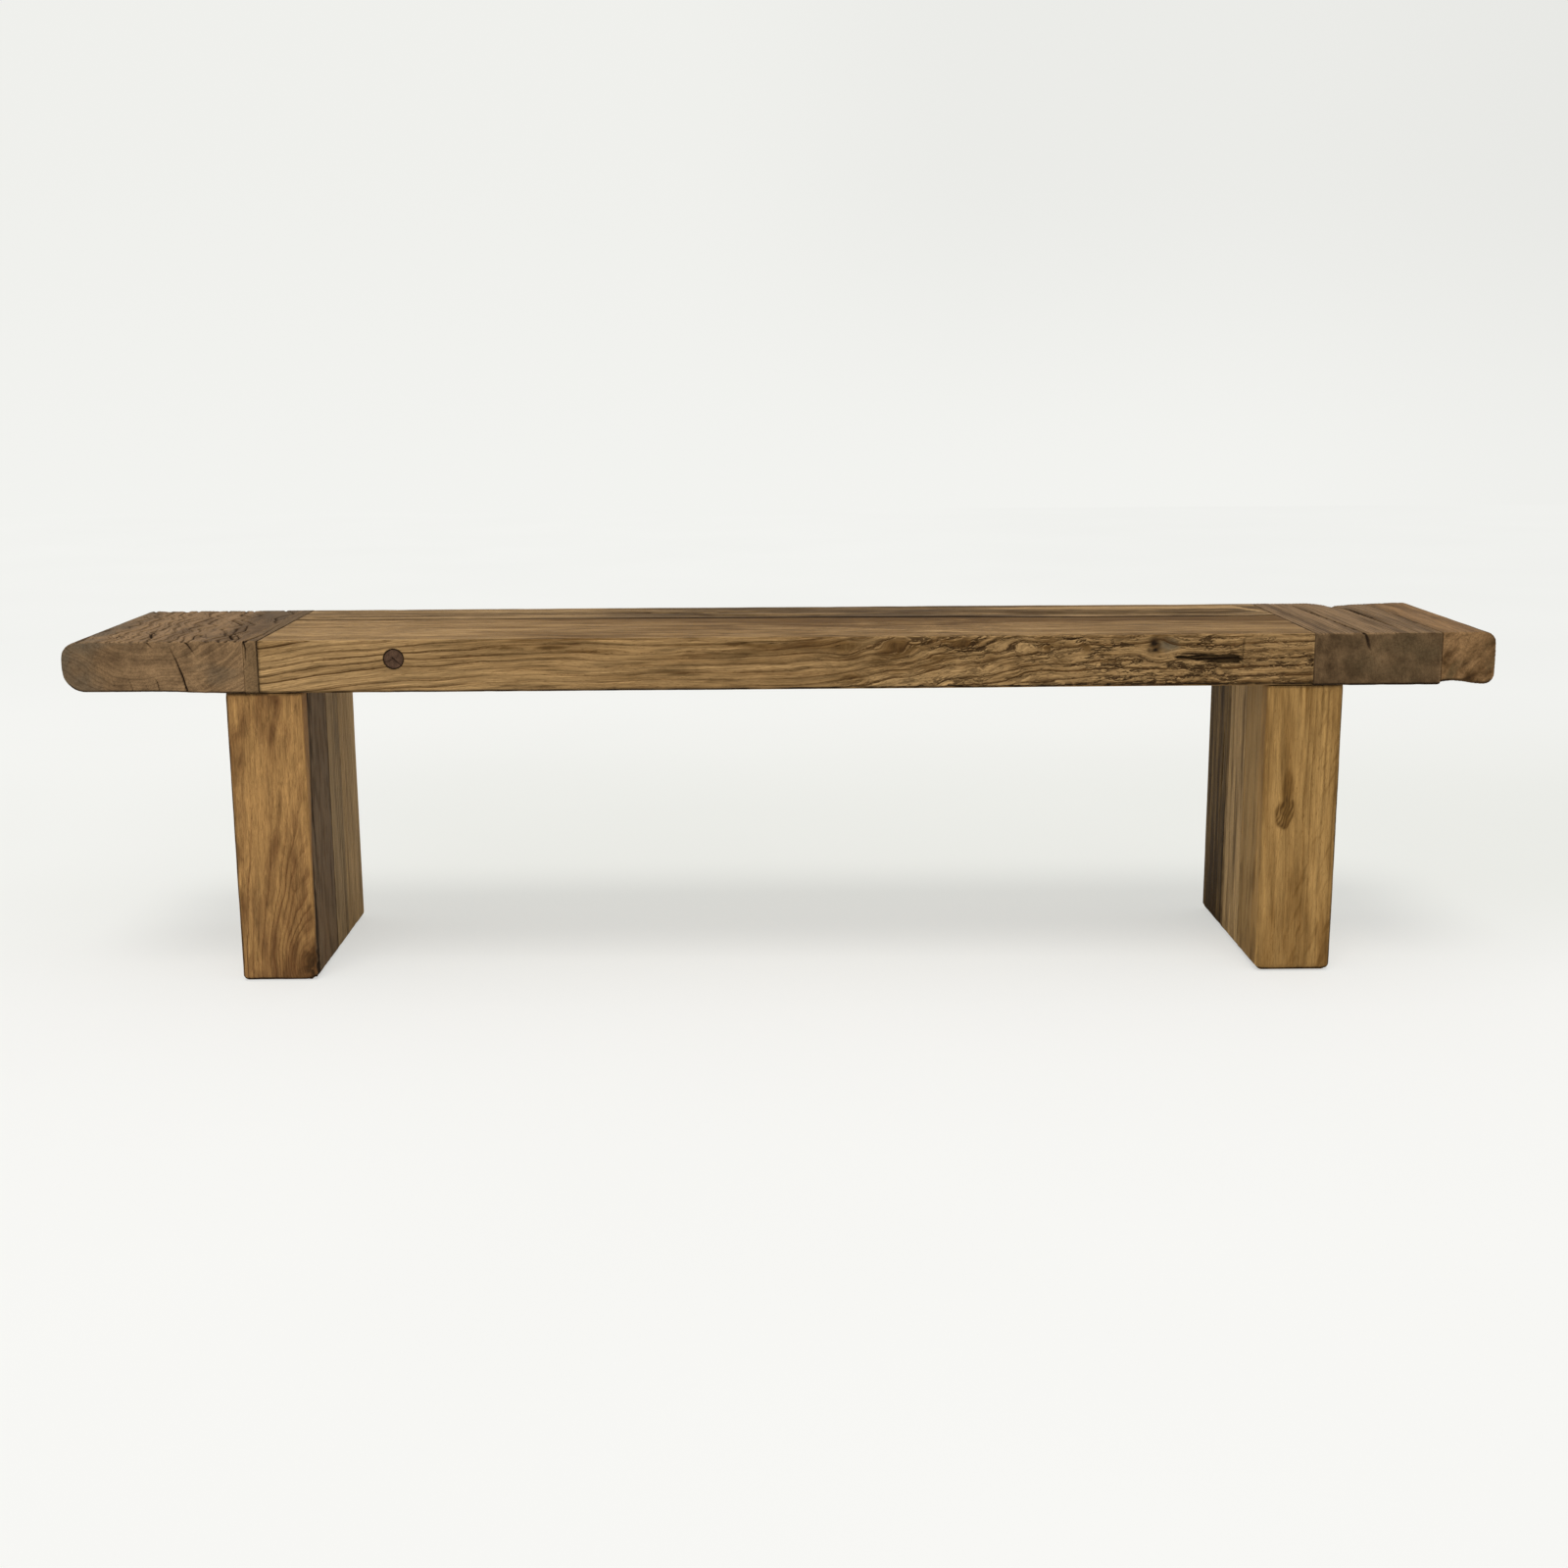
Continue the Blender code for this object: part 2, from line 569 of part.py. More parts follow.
def right_end(seat):
    """The two right timbers. The inner one is split twice, and its wider split ends in a notch."""
    half_gap = SEAM_GAP / 2
    inner = crosswise_timber(
        "right_inner_block",
        RIGHT_JOINT + half_gap,
        RIGHT_OUTER_EDGE - half_gap,
        (SEAM_ARRIS, INNER_UNDER_RADIUS, SEAM_ARRIS, SEAM_ARRIS),
        seat,
        wood("right_inner_block", DARK_OAK),
    )
    size = (RIGHT_JOINT, RIGHT_INNER_WIDTH)
    plain = top_route(RIGHT_TOP_SHAKE_SHARES, *size, TOP_SHAKE_WIDTH, TOP_SHAKE_DEPTH)
    notched = [
        ((size[0] + a * size[1], FRONT + b * BENCH_DEPTH, SEAT_HEIGHT), c * NOTCH_WIDTH, d * NOTCH_DEPTH)
        for a, b, c, d in NOTCHED_SHAKE_SHARES
    ]
    cut(inner, shake_cutter("right_top_shakes", [plain, notched], (0, 0, -1)))
    chip = end_route(CHIP_SHARES, *size, CHIP_WIDTH, CHIP_DEPTH)
    cut(inner, shake_cutter("right_chip", [chip], (0, 1, 0)))
    outer = crosswise_timber(
        "right_outer_block",
        RIGHT_OUTER_EDGE + half_gap,
        RIGHT_END,
        (SEAM_ARRIS, RIGHT_END_UNDER_RADIUS, RIGHT_END_TOP_RADIUS, SEAM_ARRIS),
        seat,
        wood("right_outer_block", BROWN_OAK),
        underside=[(share, lift * OUTER_UNDERSIDE_RISE) for share, lift in OUTER_UNDERSIDE_SHARES],
        exposed=(False, True),
    )
    centres = [(FRONT + share * BENCH_DEPTH, DOWEL_HEIGHT, RIGHT_OUTER_EDGE) for share in BLOCK_DOWEL_SHARES]
    material = wood("right_block_dowel", PALE_OAK)
    length = 2 * BLOCK_DOWEL_REACH
    _, bores = rods("right_block_dowel", "X", centres, length, BLOCK_DOWEL_DIAMETER, seat, material)
    cut(inner, bores)
    cut(outer, bores)
    return inner, outer


def beams(seat):
    """The two long beams, the dowels along their seam, and the peg and old mortise in the front."""
    front = long_beam("front_beam", front_beam_section, seat, wood("front_beam", HONEY_OAK))
    rear = long_beam("rear_beam", rear_beam_section, seat, wood("rear_beam", BROWN_OAK))
    centres = []
    for i in range(EDGE_DOWEL_COUNT):
        share = (i + 0.5) / EDGE_DOWEL_COUNT
        x = LEFT_JOINT + share * (RIGHT_JOINT - LEFT_JOINT)
        centres.append((x, DOWEL_HEIGHT, seam_between_beams(share)))
    material = wood("beam_edge_dowel", PALE_OAK)
    length = 2 * EDGE_DOWEL_REACH
    _, bores = rods("beam_edge_dowel", "Y", centres, length, EDGE_DOWEL_DIAMETER, seat, material)
    cut(front, bores)
    cut(rear, bores)
    peg_place = (LEFT_JOINT + PEG_FROM_JOINT, SEAT_HEIGHT - PEG_BELOW_TOP, FRONT + PEG_RECESS + PEG_LENGTH / 2)
    peg = bmesh.new()
    add_loft(peg, rod_rings("Y", peg_place, PEG_LENGTH, PEG_DIAMETER / 2, PEG_SIDES, PEG_CHAMFER))
    finished("beam_peg", peg, seat, wood("beam_peg", DARK_OAK))
    cut(front, peg_hole_cutter(peg_place), slot_cutter())
    return front, rear


def peg_hole_cutter(peg_place):
    """The blind hole of the peg, which starts in front of the beam's face."""
    x, z, _ = peg_place
    depth = PEG_RECESS + PEG_LENGTH + PEG_CLEARANCE
    length = depth + OVERRUN
    shape = bmesh.new()
    middle = FRONT + depth - length / 2
    add_loft(shape, rod_rings("Y", (x, z, middle), length, PEG_DIAMETER / 2 + PEG_CLEARANCE, PEG_SIDES))
    return finished("peg_hole", shape)


def slot_cutter():
    """The old mortise, square at its right end and pointed at its left."""
    low_x = RIGHT_JOINT - SLOT_FROM_JOINT - SLOT_LENGTH
    low_z = SEAT_HEIGHT - SLOT_BELOW_TOP - SLOT_HEIGHT
    shape = bmesh.new()
    add_loft(
        shape,
        [
            [(low_x + a * SLOT_LENGTH, y, low_z + b * SLOT_HEIGHT) for a, b in SLOT_OUTLINE_SHARES]
            for y in (FRONT - OVERRUN, FRONT + SLOT_DEPTH)
        ],
    )
    return finished("old_mortise", shape)


def main():
    clear_scene()
    bench = group("bench", Vector((0, 0, 0)))
    seat = group("seat", Vector((0, 0, SEAT_HEIGHT)), bench)
    block, slip = left_end(seat)
    inner, outer = right_end(seat)
    front, rear = beams(seat)

    _, left_mortises = tenons(
        "left_joint_tenon", BLOCK_EDGE, LEFT_JOINT, 0.0, seat, wood("left_joint_tenon", PALE_OAK)
    )
    _, right_mortises = tenons(
        "right_joint_tenon", RIGHT_JOINT, RIGHT_JOINT, 1.0, seat, wood("right_joint_tenon", PALE_OAK)
    )
    left_bores = leg(
        "left",
        LEFT_LEG_OUTER,
        LEFT_LEG_INNER,
        (BLOCK_EDGE, LEFT_JOINT),
        LEFT_FRONT_POST_DEPTH,
        LEFT_MIDDLE_POST_DEPTH,
        LEFT_FOOT_EASE,
        (GOLDEN_OAK, GREY_OAK, BROWN_OAK),
        bench,
    )
    right_bores = leg(
        "right",
        RIGHT_LEG_INNER,
        RIGHT_LEG_OUTER,
        (RIGHT_JOINT, RIGHT_JOINT),
        RIGHT_FRONT_POST_DEPTH,
        RIGHT_MIDDLE_POST_DEPTH,
        RIGHT_FOOT_EASE,
        (GOLDEN_OAK, BROWN_OAK, DARK_OAK),
        bench,
    )
    cut(block, left_mortises, left_bores)
    cut(slip, left_mortises)
    cut(inner, right_mortises, right_bores)
    for beam in (front, rear):
        cut(beam, left_mortises, right_mortises, left_bores, right_bores)


main()
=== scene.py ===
"""The looks of a bench of reclaimed oak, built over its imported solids.

Each timber is a grid over the six faces of its box, rounded, worn and carved by formulas, with the
growth rings, hollows, stains and worn edges kept as attributes that its oak material reads.
"""

import itertools
import math

import bpy
import numpy as np
from mathutils import Matrix, Vector


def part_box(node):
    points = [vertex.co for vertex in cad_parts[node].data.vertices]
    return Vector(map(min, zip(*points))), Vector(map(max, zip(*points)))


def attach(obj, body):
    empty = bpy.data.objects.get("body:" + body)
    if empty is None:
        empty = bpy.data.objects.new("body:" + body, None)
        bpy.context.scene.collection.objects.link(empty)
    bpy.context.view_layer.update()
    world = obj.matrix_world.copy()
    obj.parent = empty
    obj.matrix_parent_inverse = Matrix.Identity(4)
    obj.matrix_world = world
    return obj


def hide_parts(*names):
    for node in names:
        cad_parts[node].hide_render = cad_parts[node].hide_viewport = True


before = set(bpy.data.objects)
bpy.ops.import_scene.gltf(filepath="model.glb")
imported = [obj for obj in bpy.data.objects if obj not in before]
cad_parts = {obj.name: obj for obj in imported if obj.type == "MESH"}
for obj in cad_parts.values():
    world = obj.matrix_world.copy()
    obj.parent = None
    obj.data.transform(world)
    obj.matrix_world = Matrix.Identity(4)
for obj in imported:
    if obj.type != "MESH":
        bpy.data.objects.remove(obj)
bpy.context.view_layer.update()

X, Y, Z = range(3)
ACROSS = {X: (Y, Z), Y: (X, Z), Z: (X, Y)}

# Noise: a table of slopes, the same on every run
RANDOM = np.random.default_rng(62)
SLOPES = RANDOM.normal(size=(256, 3))
SLOPES /= np.linalg.norm(SLOPES, axis=1, keepdims=True)
ORDER = RANDOM.permutation(256)
SEED_STEP = np.array((17.31, 9.73, 23.57))
NOISE_GAIN = 1.6
OCTAVES = 3
TINY = 1e-9


def ramp(low, high, value):
    """0 below low, 1 above high, and a smooth S between them."""
    share = np.clip((value - low) / (high - low), 0, 1)
    return share * share * (3 - 2 * share)


def hump(distance):
    """A bell: exp(-distance squared)."""
    return np.exp(-distance * distance)


def noise(points, wavelengths, seed):
    """Gradient noise, about -1 to 1: slopes at the corners of a lattice, blended by a quintic."""
    place = points / np.asarray(wavelengths) + seed * SEED_STEP
    cell = np.floor(place).astype(int)
    inside = place - cell
    blend = inside**3 * (inside * (6 * inside - 15) + 10)
    total = np.zeros(len(points))
    for corner in itertools.product((0, 1), repeat=3):
        at = cell + corner
        key = ORDER[at[:, 0] & 255]
        key = ORDER[(key + at[:, 1]) & 255]
        key = ORDER[(key + at[:, 2]) & 255]
        weight = np.prod(np.where(corner, blend, 1 - blend), axis=1)
        total += weight * np.einsum("ij,ij->i", inside - corner, SLOPES[key])
    return NOISE_GAIN * total


def clouds(points, wavelengths, seed):
    """Noise summed over octaves, each of half the wavelength and half the height of the last."""
    wavelengths = np.asarray(wavelengths, float)
    return sum(noise(points, wavelengths / 2**i, seed + i) / 2**i for i in range(OCTAVES))


def slanted(points, angle, wavelengths, seed):
    """Clouds drawn out along a slant: the points turned by the angle in the plane of X and Z."""
    c, s = math.cos(angle), math.sin(angle)
    x, y, z = points.T
    return clouds(np.stack((c * x + s * z, y, c * z - s * x), 1), wavelengths, seed)


def lines(low, high, *stops):
    """Places from low to high. stops are pairs of a place and the spacing there, blended between."""
    fine = np.linspace(low, high, 6001)
    places, spacings = zip(*stops)
    density = 1 / np.interp(fine, places, spacings)
    count = np.concatenate(([0], np.cumsum((density[1:] + density[:-1]) / 2 * np.diff(fine))))
    return np.interp(np.linspace(0, count[-1], max(3, round(count[-1]) + 1)), count, fine)


def edged(low, high, middle, edge=0.0008, reach=0.012):
    """Places from low to high, fine at both edges and coarser in the middle."""
    inner = min(reach, (high - low) / 3)
    return lines(low, high, (low, edge), (low + inner, middle), (high - inner, middle), (high, edge))


def box_shell(grids):
    """The grid points on the six faces of a box, shared along its edges, and quads facing out."""
    counts = [len(grid) for grid in grids]
    steps = (counts[1] * counts[2], counts[2], 1)
    quads = []
    for axis in (X, Y, Z):
        a, b = ACROSS[axis]
        i, j = np.meshgrid(np.arange(counts[a] - 1), np.arange(counts[b] - 1), indexing="ij")
        corner = i.ravel() * steps[a] + j.ravel() * steps[b]
        ring = np.stack((corner, corner + steps[a], corner + steps[a] + steps[b], corner + steps[b]), 1)
        for end in (0, counts[axis] - 1):
            outward = (end > 0) == (axis != Y)
            quads.append((ring if outward else ring[:, ::-1]) + end * steps[axis])
    quads = np.concatenate(quads)
    used, quads = np.unique(quads, return_inverse=True)
    index = np.stack((used // steps[0], used // steps[1] % counts[1], used % counts[2]), 1)
    points = np.stack([grids[k][index[:, k]] for k in range(3)], 1)
    return points, quads.reshape(-1, 4)


def facing(points, quads):
    """The unit normal at each point: the sum of the diagonals' cross products of its quads."""
    corners = points[quads]
    cross = np.cross(corners[:, 2] - corners[:, 0], corners[:, 3] - corners[:, 1])
    total = np.stack(
        [np.bincount(quads.ravel(), np.repeat(cross[:, k], 4), len(points)) for k in range(3)], 1
    )
    return total / np.maximum(np.linalg.norm(total, axis=1, keepdims=True), 1e-12)


def curve(at, stops, soften=0.015):
    """The broken line through stops, pairs of place and value, with its bends softened."""
    places, values = zip(*stops)
    shifts = np.linspace(-soften, soften, 5)
    return np.mean([np.interp(at + shift, places, values) for shift in shifts], axis=0)


CHANCE_TURN = 12.9898
CHANCE_START = 4.1
CHANCE_STEEPNESS = 43758.5453


def chance(number):
    """A fixed value from 0 to 1 for each whole number: the digits of a steep sine."""
    wave = np.sin(number * CHANCE_TURN + CHANCE_START) * CHANCE_STEEPNESS
    return wave - np.floor(wave)


# How deep a cut has to be for its painted shade to be full, and how far slow bands reach off their rings
DARK_DEPTH = 0.002
BAND_SPREAD = 0.08


class Timber:
    """A timber in the making: points on the six faces of its box, and what is carved and stained."""

    # The hollow mark darkens knots, dirt and joints, and is painted shade in cuts, cracks and along
    # undersides
    MARKS = ("rings", "bend", "bold", "tone", "stain", "hollow", "worn", "eaten")

    def __init__(self, node, axis, grids, arrises, eases):
        """axis is the grain's. arrises are the radii of the long edges: low-low, high-low, high-high
        and low-high. eases are the radii round the low end and round the high end, each for the
        low and high sides of the first cross axis and then of the second.
        """
        self.node = node
        self.axis = axis
        low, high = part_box(node)
        self.low, self.high = np.array(low), np.array(high)
        self.flat, self.quads = box_shell(grids)
        self.points = self.flat.copy()
        a, b = ACROSS[axis]
        for end, radii in zip((-1, 1), eases):
            for (side, to_side), radius in zip(((a, -1), (a, 1), (b, -1), (b, 1)), radii):
                self.round_edge(side, to_side, axis, end, radius)
        for (to_a, to_b), radius in zip(((-1, -1), (1, -1), (1, 1), (-1, 1)), arrises):
            self.round_edge(a, to_a, b, to_b, radius)
        for mark in self.MARKS:
            setattr(self, mark, np.zeros(len(self.points)))
        self.bold += 1
        self.sunk = np.zeros(len(self.points))
        self.normals = facing(self.points, self.quads)

    def round_edge(self, a, to_a, b, to_b, radius):
        """Rounds the edge between two faces: within the radius of both, a point is pulled towards the
        centre of the round by the longer over the slanting distance, so a square becomes a circle.
        """
        if isinstance(radius, list):
            radius = curve(self.points[:, 3 - a - b], radius)
        edge_a = self.high[a] if to_a > 0 else self.low[a]
        edge_b = self.high[b] if to_b > 0 else self.low[b]
        share_a = 1 - to_a * (edge_a - self.points[:, a]) / radius
        share_b = 1 - to_b * (edge_b - self.points[:, b]) / radius
        slant = np.maximum(np.hypot(share_a, share_b), TINY)
        pull = np.where((share_a > 0) & (share_b > 0), np.maximum(share_a, share_b) / slant, 1)
        self.points[:, a] += to_a * share_a * (pull - 1) * radius
        self.points[:, b] += to_b * share_b * (pull - 1) * radius

    def reshape(self, axis, move):
        """Shifts the points along an axis by a function of them all."""
        self.points[:, axis] += move(self.points)
        self.normals = facing(self.points, self.quads)

    def side(self, face):
        """1 on a face, 0 on the others, blended round the arrises."""
        axis, high = face
        return ramp(0.25, 0.8, self.normals[:, axis] * (1 if high else -1))

    def edges(self, reach):
        """1 along the arrises, 0 further than reach from them."""
        inset = np.sort(np.minimum(self.flat - self.low, self.high - self.flat), axis=1)[:, 1]
        return 1 - ramp(0, reach, inset)

    def bell(self, centre, sizes, power=1.0):
        """exp(-distance^2 power) round a point, where sizes are the distances that count as 1."""
        return hump(np.linalg.norm((self.points - centre) / sizes, axis=1) ** power)

    def clouds(self, wavelengths, seed):
        return clouds(self.points, wavelengths, seed)

    def darken(self, amount):
        """Raises the hollow mark to an amount."""
        self.hollow = np.maximum(self.hollow, amount)

    def rub(self, amount):
        """Raises the worn mark to an amount."""
        self.worn = np.maximum(self.worn, amount)

    def carve(self, depth, dark=None):
        """Sinks the surface to a depth where that is deeper, and darkens it by dark, 0 to 1, or else by its
        depth: painted shade in the cut.
        """
        self.sunk = np.maximum(self.sunk, depth)
        self.darken(np.clip(depth / DARK_DEPTH, 0, 1) if dark is None else dark)

    def split(self, face, route, wobble, seed):
        """A split over a face, along points (first, second, width, depth) in the face's two axes. Its
        depth falls off to each side as 1 - (distance / half the width)^1.5, and it is darkened by its depth,
        painted shade in the split.
        """
        shown = self.side(face)
        near = shown > 0
        a, b = ACROSS[face[0]]
        where = self.flat[near][:, [a, b]]
        sway = wobble * noise(self.flat[near], (0.011, 0.011, 0.011), seed + 40)
        deepest = np.zeros(near.sum())
        for start, end in zip(route, route[1:]):
            start, end = np.array(start), np.array(end)
            run = end[:2] - start[:2]
            share = np.clip((where - start[:2]) @ run / (run @ run), 0, 1)[:, None]
            off = where - start[:2] - share * run
            distance = np.hypot(off[:, 0], off[:, 1]) + sway * np.sign(off @ (-run[1], run[0]))
            width, depth = (start[2:] + share * (end[2:] - start[2:])).T
            fall = 1 - (np.abs(distance) / (width / 2 + 1e-5)) ** 1.5
            deepest = np.maximum(deepest, depth * np.clip(fall, 0, 1))
        depth = np.zeros(len(self.points))
        depth[near] = deepest * shown[near]
        self.carve(depth)

    def open_splits(self, group=None):
        """The splits of a group in the table, which is named after the timber if no name is given."""
        for face, wobble, seed, routes in SPLITS[group or self.node]:
            for number, route in enumerate(routes):
                self.split(face, route, wobble, seed + number)

    def grow(self, pith, spacing, drift, sway, lengths, eyes, seed):
        """Growth rings: the distance to the pith line over the spacing. Before that, the second cross
        axis is bent by drift, pairs of place along the grain and shift, by noise of height sway,
        and round each eye, (point, sizes, opening), by opening tanh(offset / opening) in a bell.
        """
        a, b = ACROSS[self.axis]
        waves = np.full(3, lengths[1])
        waves[self.axis] = lengths[0]
        self.bend = sway * self.clouds(waves, seed)
        if drift:
            self.bend -= curve(self.points[:, self.axis], drift)
        for point, sizes, opening in eyes:
            off = self.points - point
            near = off / sizes
            near[:, b] *= 0.35
            lean = np.tanh(off[:, b] / opening)
            self.bend -= opening * lean * hump(np.linalg.norm(near, axis=1))
        self.rings = np.hypot(self.points[:, a] - pith[0], self.points[:, b] + self.bend - pith[1]) / spacing

    def groove(self, depth, width=0.12, strength=1.0):
        """Sinks each ring at its start: a bell of that share of the ring, of its own depth."""
        number = np.round(self.rings)
        own = 0.35 + 0.65 * chance(number)
        self.sunk += depth * strength * own * hump((self.rings - number) / width)

    def weather(self, depth, seed, reach=0.007):
        """The unevenness left by hands: slow noise all over, and bruises along the arrises, which wear
        light."""
        slow = np.clip(0.5 + 0.5 * noise(self.points, (0.11, 0.11, 0.11), seed + 11), 0, 1)
        bruise = self.edges(reach) * np.clip(self.clouds((0.028, 0.028, 0.028), seed + 7) + 0.1, 0, 1)
        self.sunk += depth * (0.6 * slow + 1.3 * bruise)
        self.worn = self.edges(0.0035) * ramp(-0.25, 0.5, self.clouds((0.05, 0.05, 0.05), seed + 13))

    def bands(self, rings_each, seed):
        """Slow light and dark across the rings, about -1 to 1, each band some rings wide."""
        others = [self.points[:, k] / BAND_SPREAD for k in ACROSS[self.axis]]
        return noise(np.stack((self.rings / rings_each, *others), 1), (1, 1, 1), seed)

    def dirt_and_shade(self, arrises, reach, amount):
        """Dirt along top edges and joints, and painted shade along undersides, round the feet and under the
        seat: along arrises, each the two faces that meet there, darkest at the arris, gone at reach.
        """
        uneven = np.clip(0.9 + 0.5 * self.clouds((0.05, 0.05, 0.05), 17), 0, 1)
        for faces in arrises:
            off = [
                np.abs((self.high if high else self.low)[axis] - self.flat[:, axis]) for axis, high in faces
            ]
            near = 1 - ramp(0.35 * reach, reach, np.maximum(*off))
            self.darken(amount * near * uneven)

    def finish(self, material, slot, hidden):
        """Makes the object. The hidden faces lie against other timbers and stay flat."""
        open_to_wear = np.ones(len(self.points))
        for face in hidden:
            open_to_wear *= 1 - self.side(face)
        depth = self.sunk * open_to_wear
        mesh = bpy.data.meshes.new(self.node + "_oak")
        fill(mesh, self.points - self.normals * depth[:, None], self.quads)
        for mark in self.MARKS:
            attribute = mesh.attributes.new(mark, "FLOAT", "POINT")
            attribute.data.foreach_set("value", getattr(self, mark).astype(np.float32))
        mesh.materials.append(material)
        settle(mesh, self.node)


def fill(mesh, points, quads):
    """Puts points and quads into a mesh, smooth shaded."""
    mesh.vertices.add(len(points))
    mesh.vertices.foreach_set("co", points.astype(np.float32).ravel())
    mesh.loops.add(quads.size)
    mesh.loops.foreach_set("vertex_index", quads.astype(np.int32).ravel())
    mesh.polygons.add(len(quads))
    mesh.polygons.foreach_set("loop_start", np.arange(0, quads.size, 4, dtype=np.int32))
    mesh.update(calc_edges=True)
    mesh.shade_smooth()


def settle(mesh, node):
    """Puts a piece in the scene in place of its solid."""
    piece = bpy.data.objects.new(node + "_oak", mesh)
    bpy.context.scene.collection.objects.link(piece)
    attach(piece, "root")
    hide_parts(node)


class Value:
    """A number in a shader: its operators add Math nodes."""

    def __init__(self, graph, socket):
        self.graph = graph
        self.socket = socket

    def __add__(self, other):
        return self.graph.math("ADD", self, other)

    def __sub__(self, other):
        return self.graph.math("SUBTRACT", self, other)

    def __rsub__(self, other):
        return self.graph.math("SUBTRACT", other, self)

    def __mul__(self, other):
        return self.graph.math("MULTIPLY", self, other)

    __radd__ = __add__
    __rmul__ = __mul__


class Graph:
    """The nodes of one material or of the room."""

    def __init__(self, owner):
        owner.use_nodes = True
        self.tree = owner.node_tree
        self.tree.nodes.clear()

    def add(self, kind, settings=None, sockets=None):
        """One node: first its settings, then the value or the link of each socket."""
        node = self.tree.nodes.new("ShaderNode" + kind)
        for name, value in (settings or {}).items():
            setattr(node, name, value)
        for name, value in (sockets or {}).items():
            if isinstance(value, Value):
                value = value.socket
            if isinstance(value, bpy.types.NodeSocket):
                self.tree.links.new(value, node.inputs[name])
            else:
                node.inputs[name].default_value = value
        return node

    def math(self, operation, *values):
        node = self.add("Math", {"operation": operation}, dict(enumerate(values)))
        return Value(self, node.outputs[0])

    def clamp(self, value):
        return Value(self, self.add("Clamp", None, {"Value": value}).outputs[0])

    def step(self, low, high, value):
        """0 below low, 1 above high, smooth between."""
        sockets = {"Value": value, "From Min": low, "From Max": high}
        node = self.add("MapRange", {"interpolation_type": "SMOOTHSTEP"}, sockets)
        return Value(self, node.outputs[0])

    def attribute(self, name):
        return Value(self, self.add("Attribute", {"attribute_name": name}).outputs["Fac"])

    def parts(self, vector):
        node = self.add("SeparateXYZ", None, {0: vector})
        return [Value(self, socket) for socket in node.outputs]

    def join(self, parts):
        return self.add("CombineXYZ", None, dict(enumerate(parts))).outputs[0]

    def times(self, vector, factors):
        return self.add("VectorMath", {"operation": "MULTIPLY"}, {0: vector, 1: factors}).outputs[0]

    def noise(self, vector, detail=2.0, roughness=0.5, scale=1.0):
        sockets = {"Vector": vector, "Scale": scale, "Detail": detail, "Roughness": roughness}
        return Value(self, self.add("TexNoise", None, sockets).outputs["Fac"])

    def mix(self, factor, first, second):
        """A colour between two others, each three numbers or a socket."""
        colours = [c if isinstance(c, bpy.types.NodeSocket) else (*c, 1.0) for c in (first, second)]
        return self.add("Mix", {"data_type": "RGBA"}, {0: factor, 6: colours[0], 7: colours[1]}).outputs[2]

    def shade(self, colour, value):
        return self.add("VectorMath", {"operation": "SCALE"}, {0: colour, "Scale": value}).outputs[0]

    def finish(self, base, roughness, height, distance=0.0006):
        """Waxed wood of a base colour, roughened, over a bump of a height."""
        bump = self.add("Bump", None, {"Strength": 0.7, "Distance": distance, "Height": height})
        sockets = {
            "Base Color": base,
            "Roughness": roughness,
            "Normal": bump.outputs[0],
            "Specular IOR Level": WAX_GLOSS,
        }
        shader = self.add("BsdfPrincipled", None, sockets)
        self.add("OutputMaterial", None, {"Surface": shader.outputs[0]})


# Colours of what is dark or deep, the dark of knots, dirt and joints and painted shade in cuts, cracks and
# along undersides, and of worm pits, painted shade in them, and how much waxed wood glances
DEEP = (0.02, 0.012, 0.007)
PIT = (0.046, 0.024, 0.01)
WAX_GLOSS = 0.018
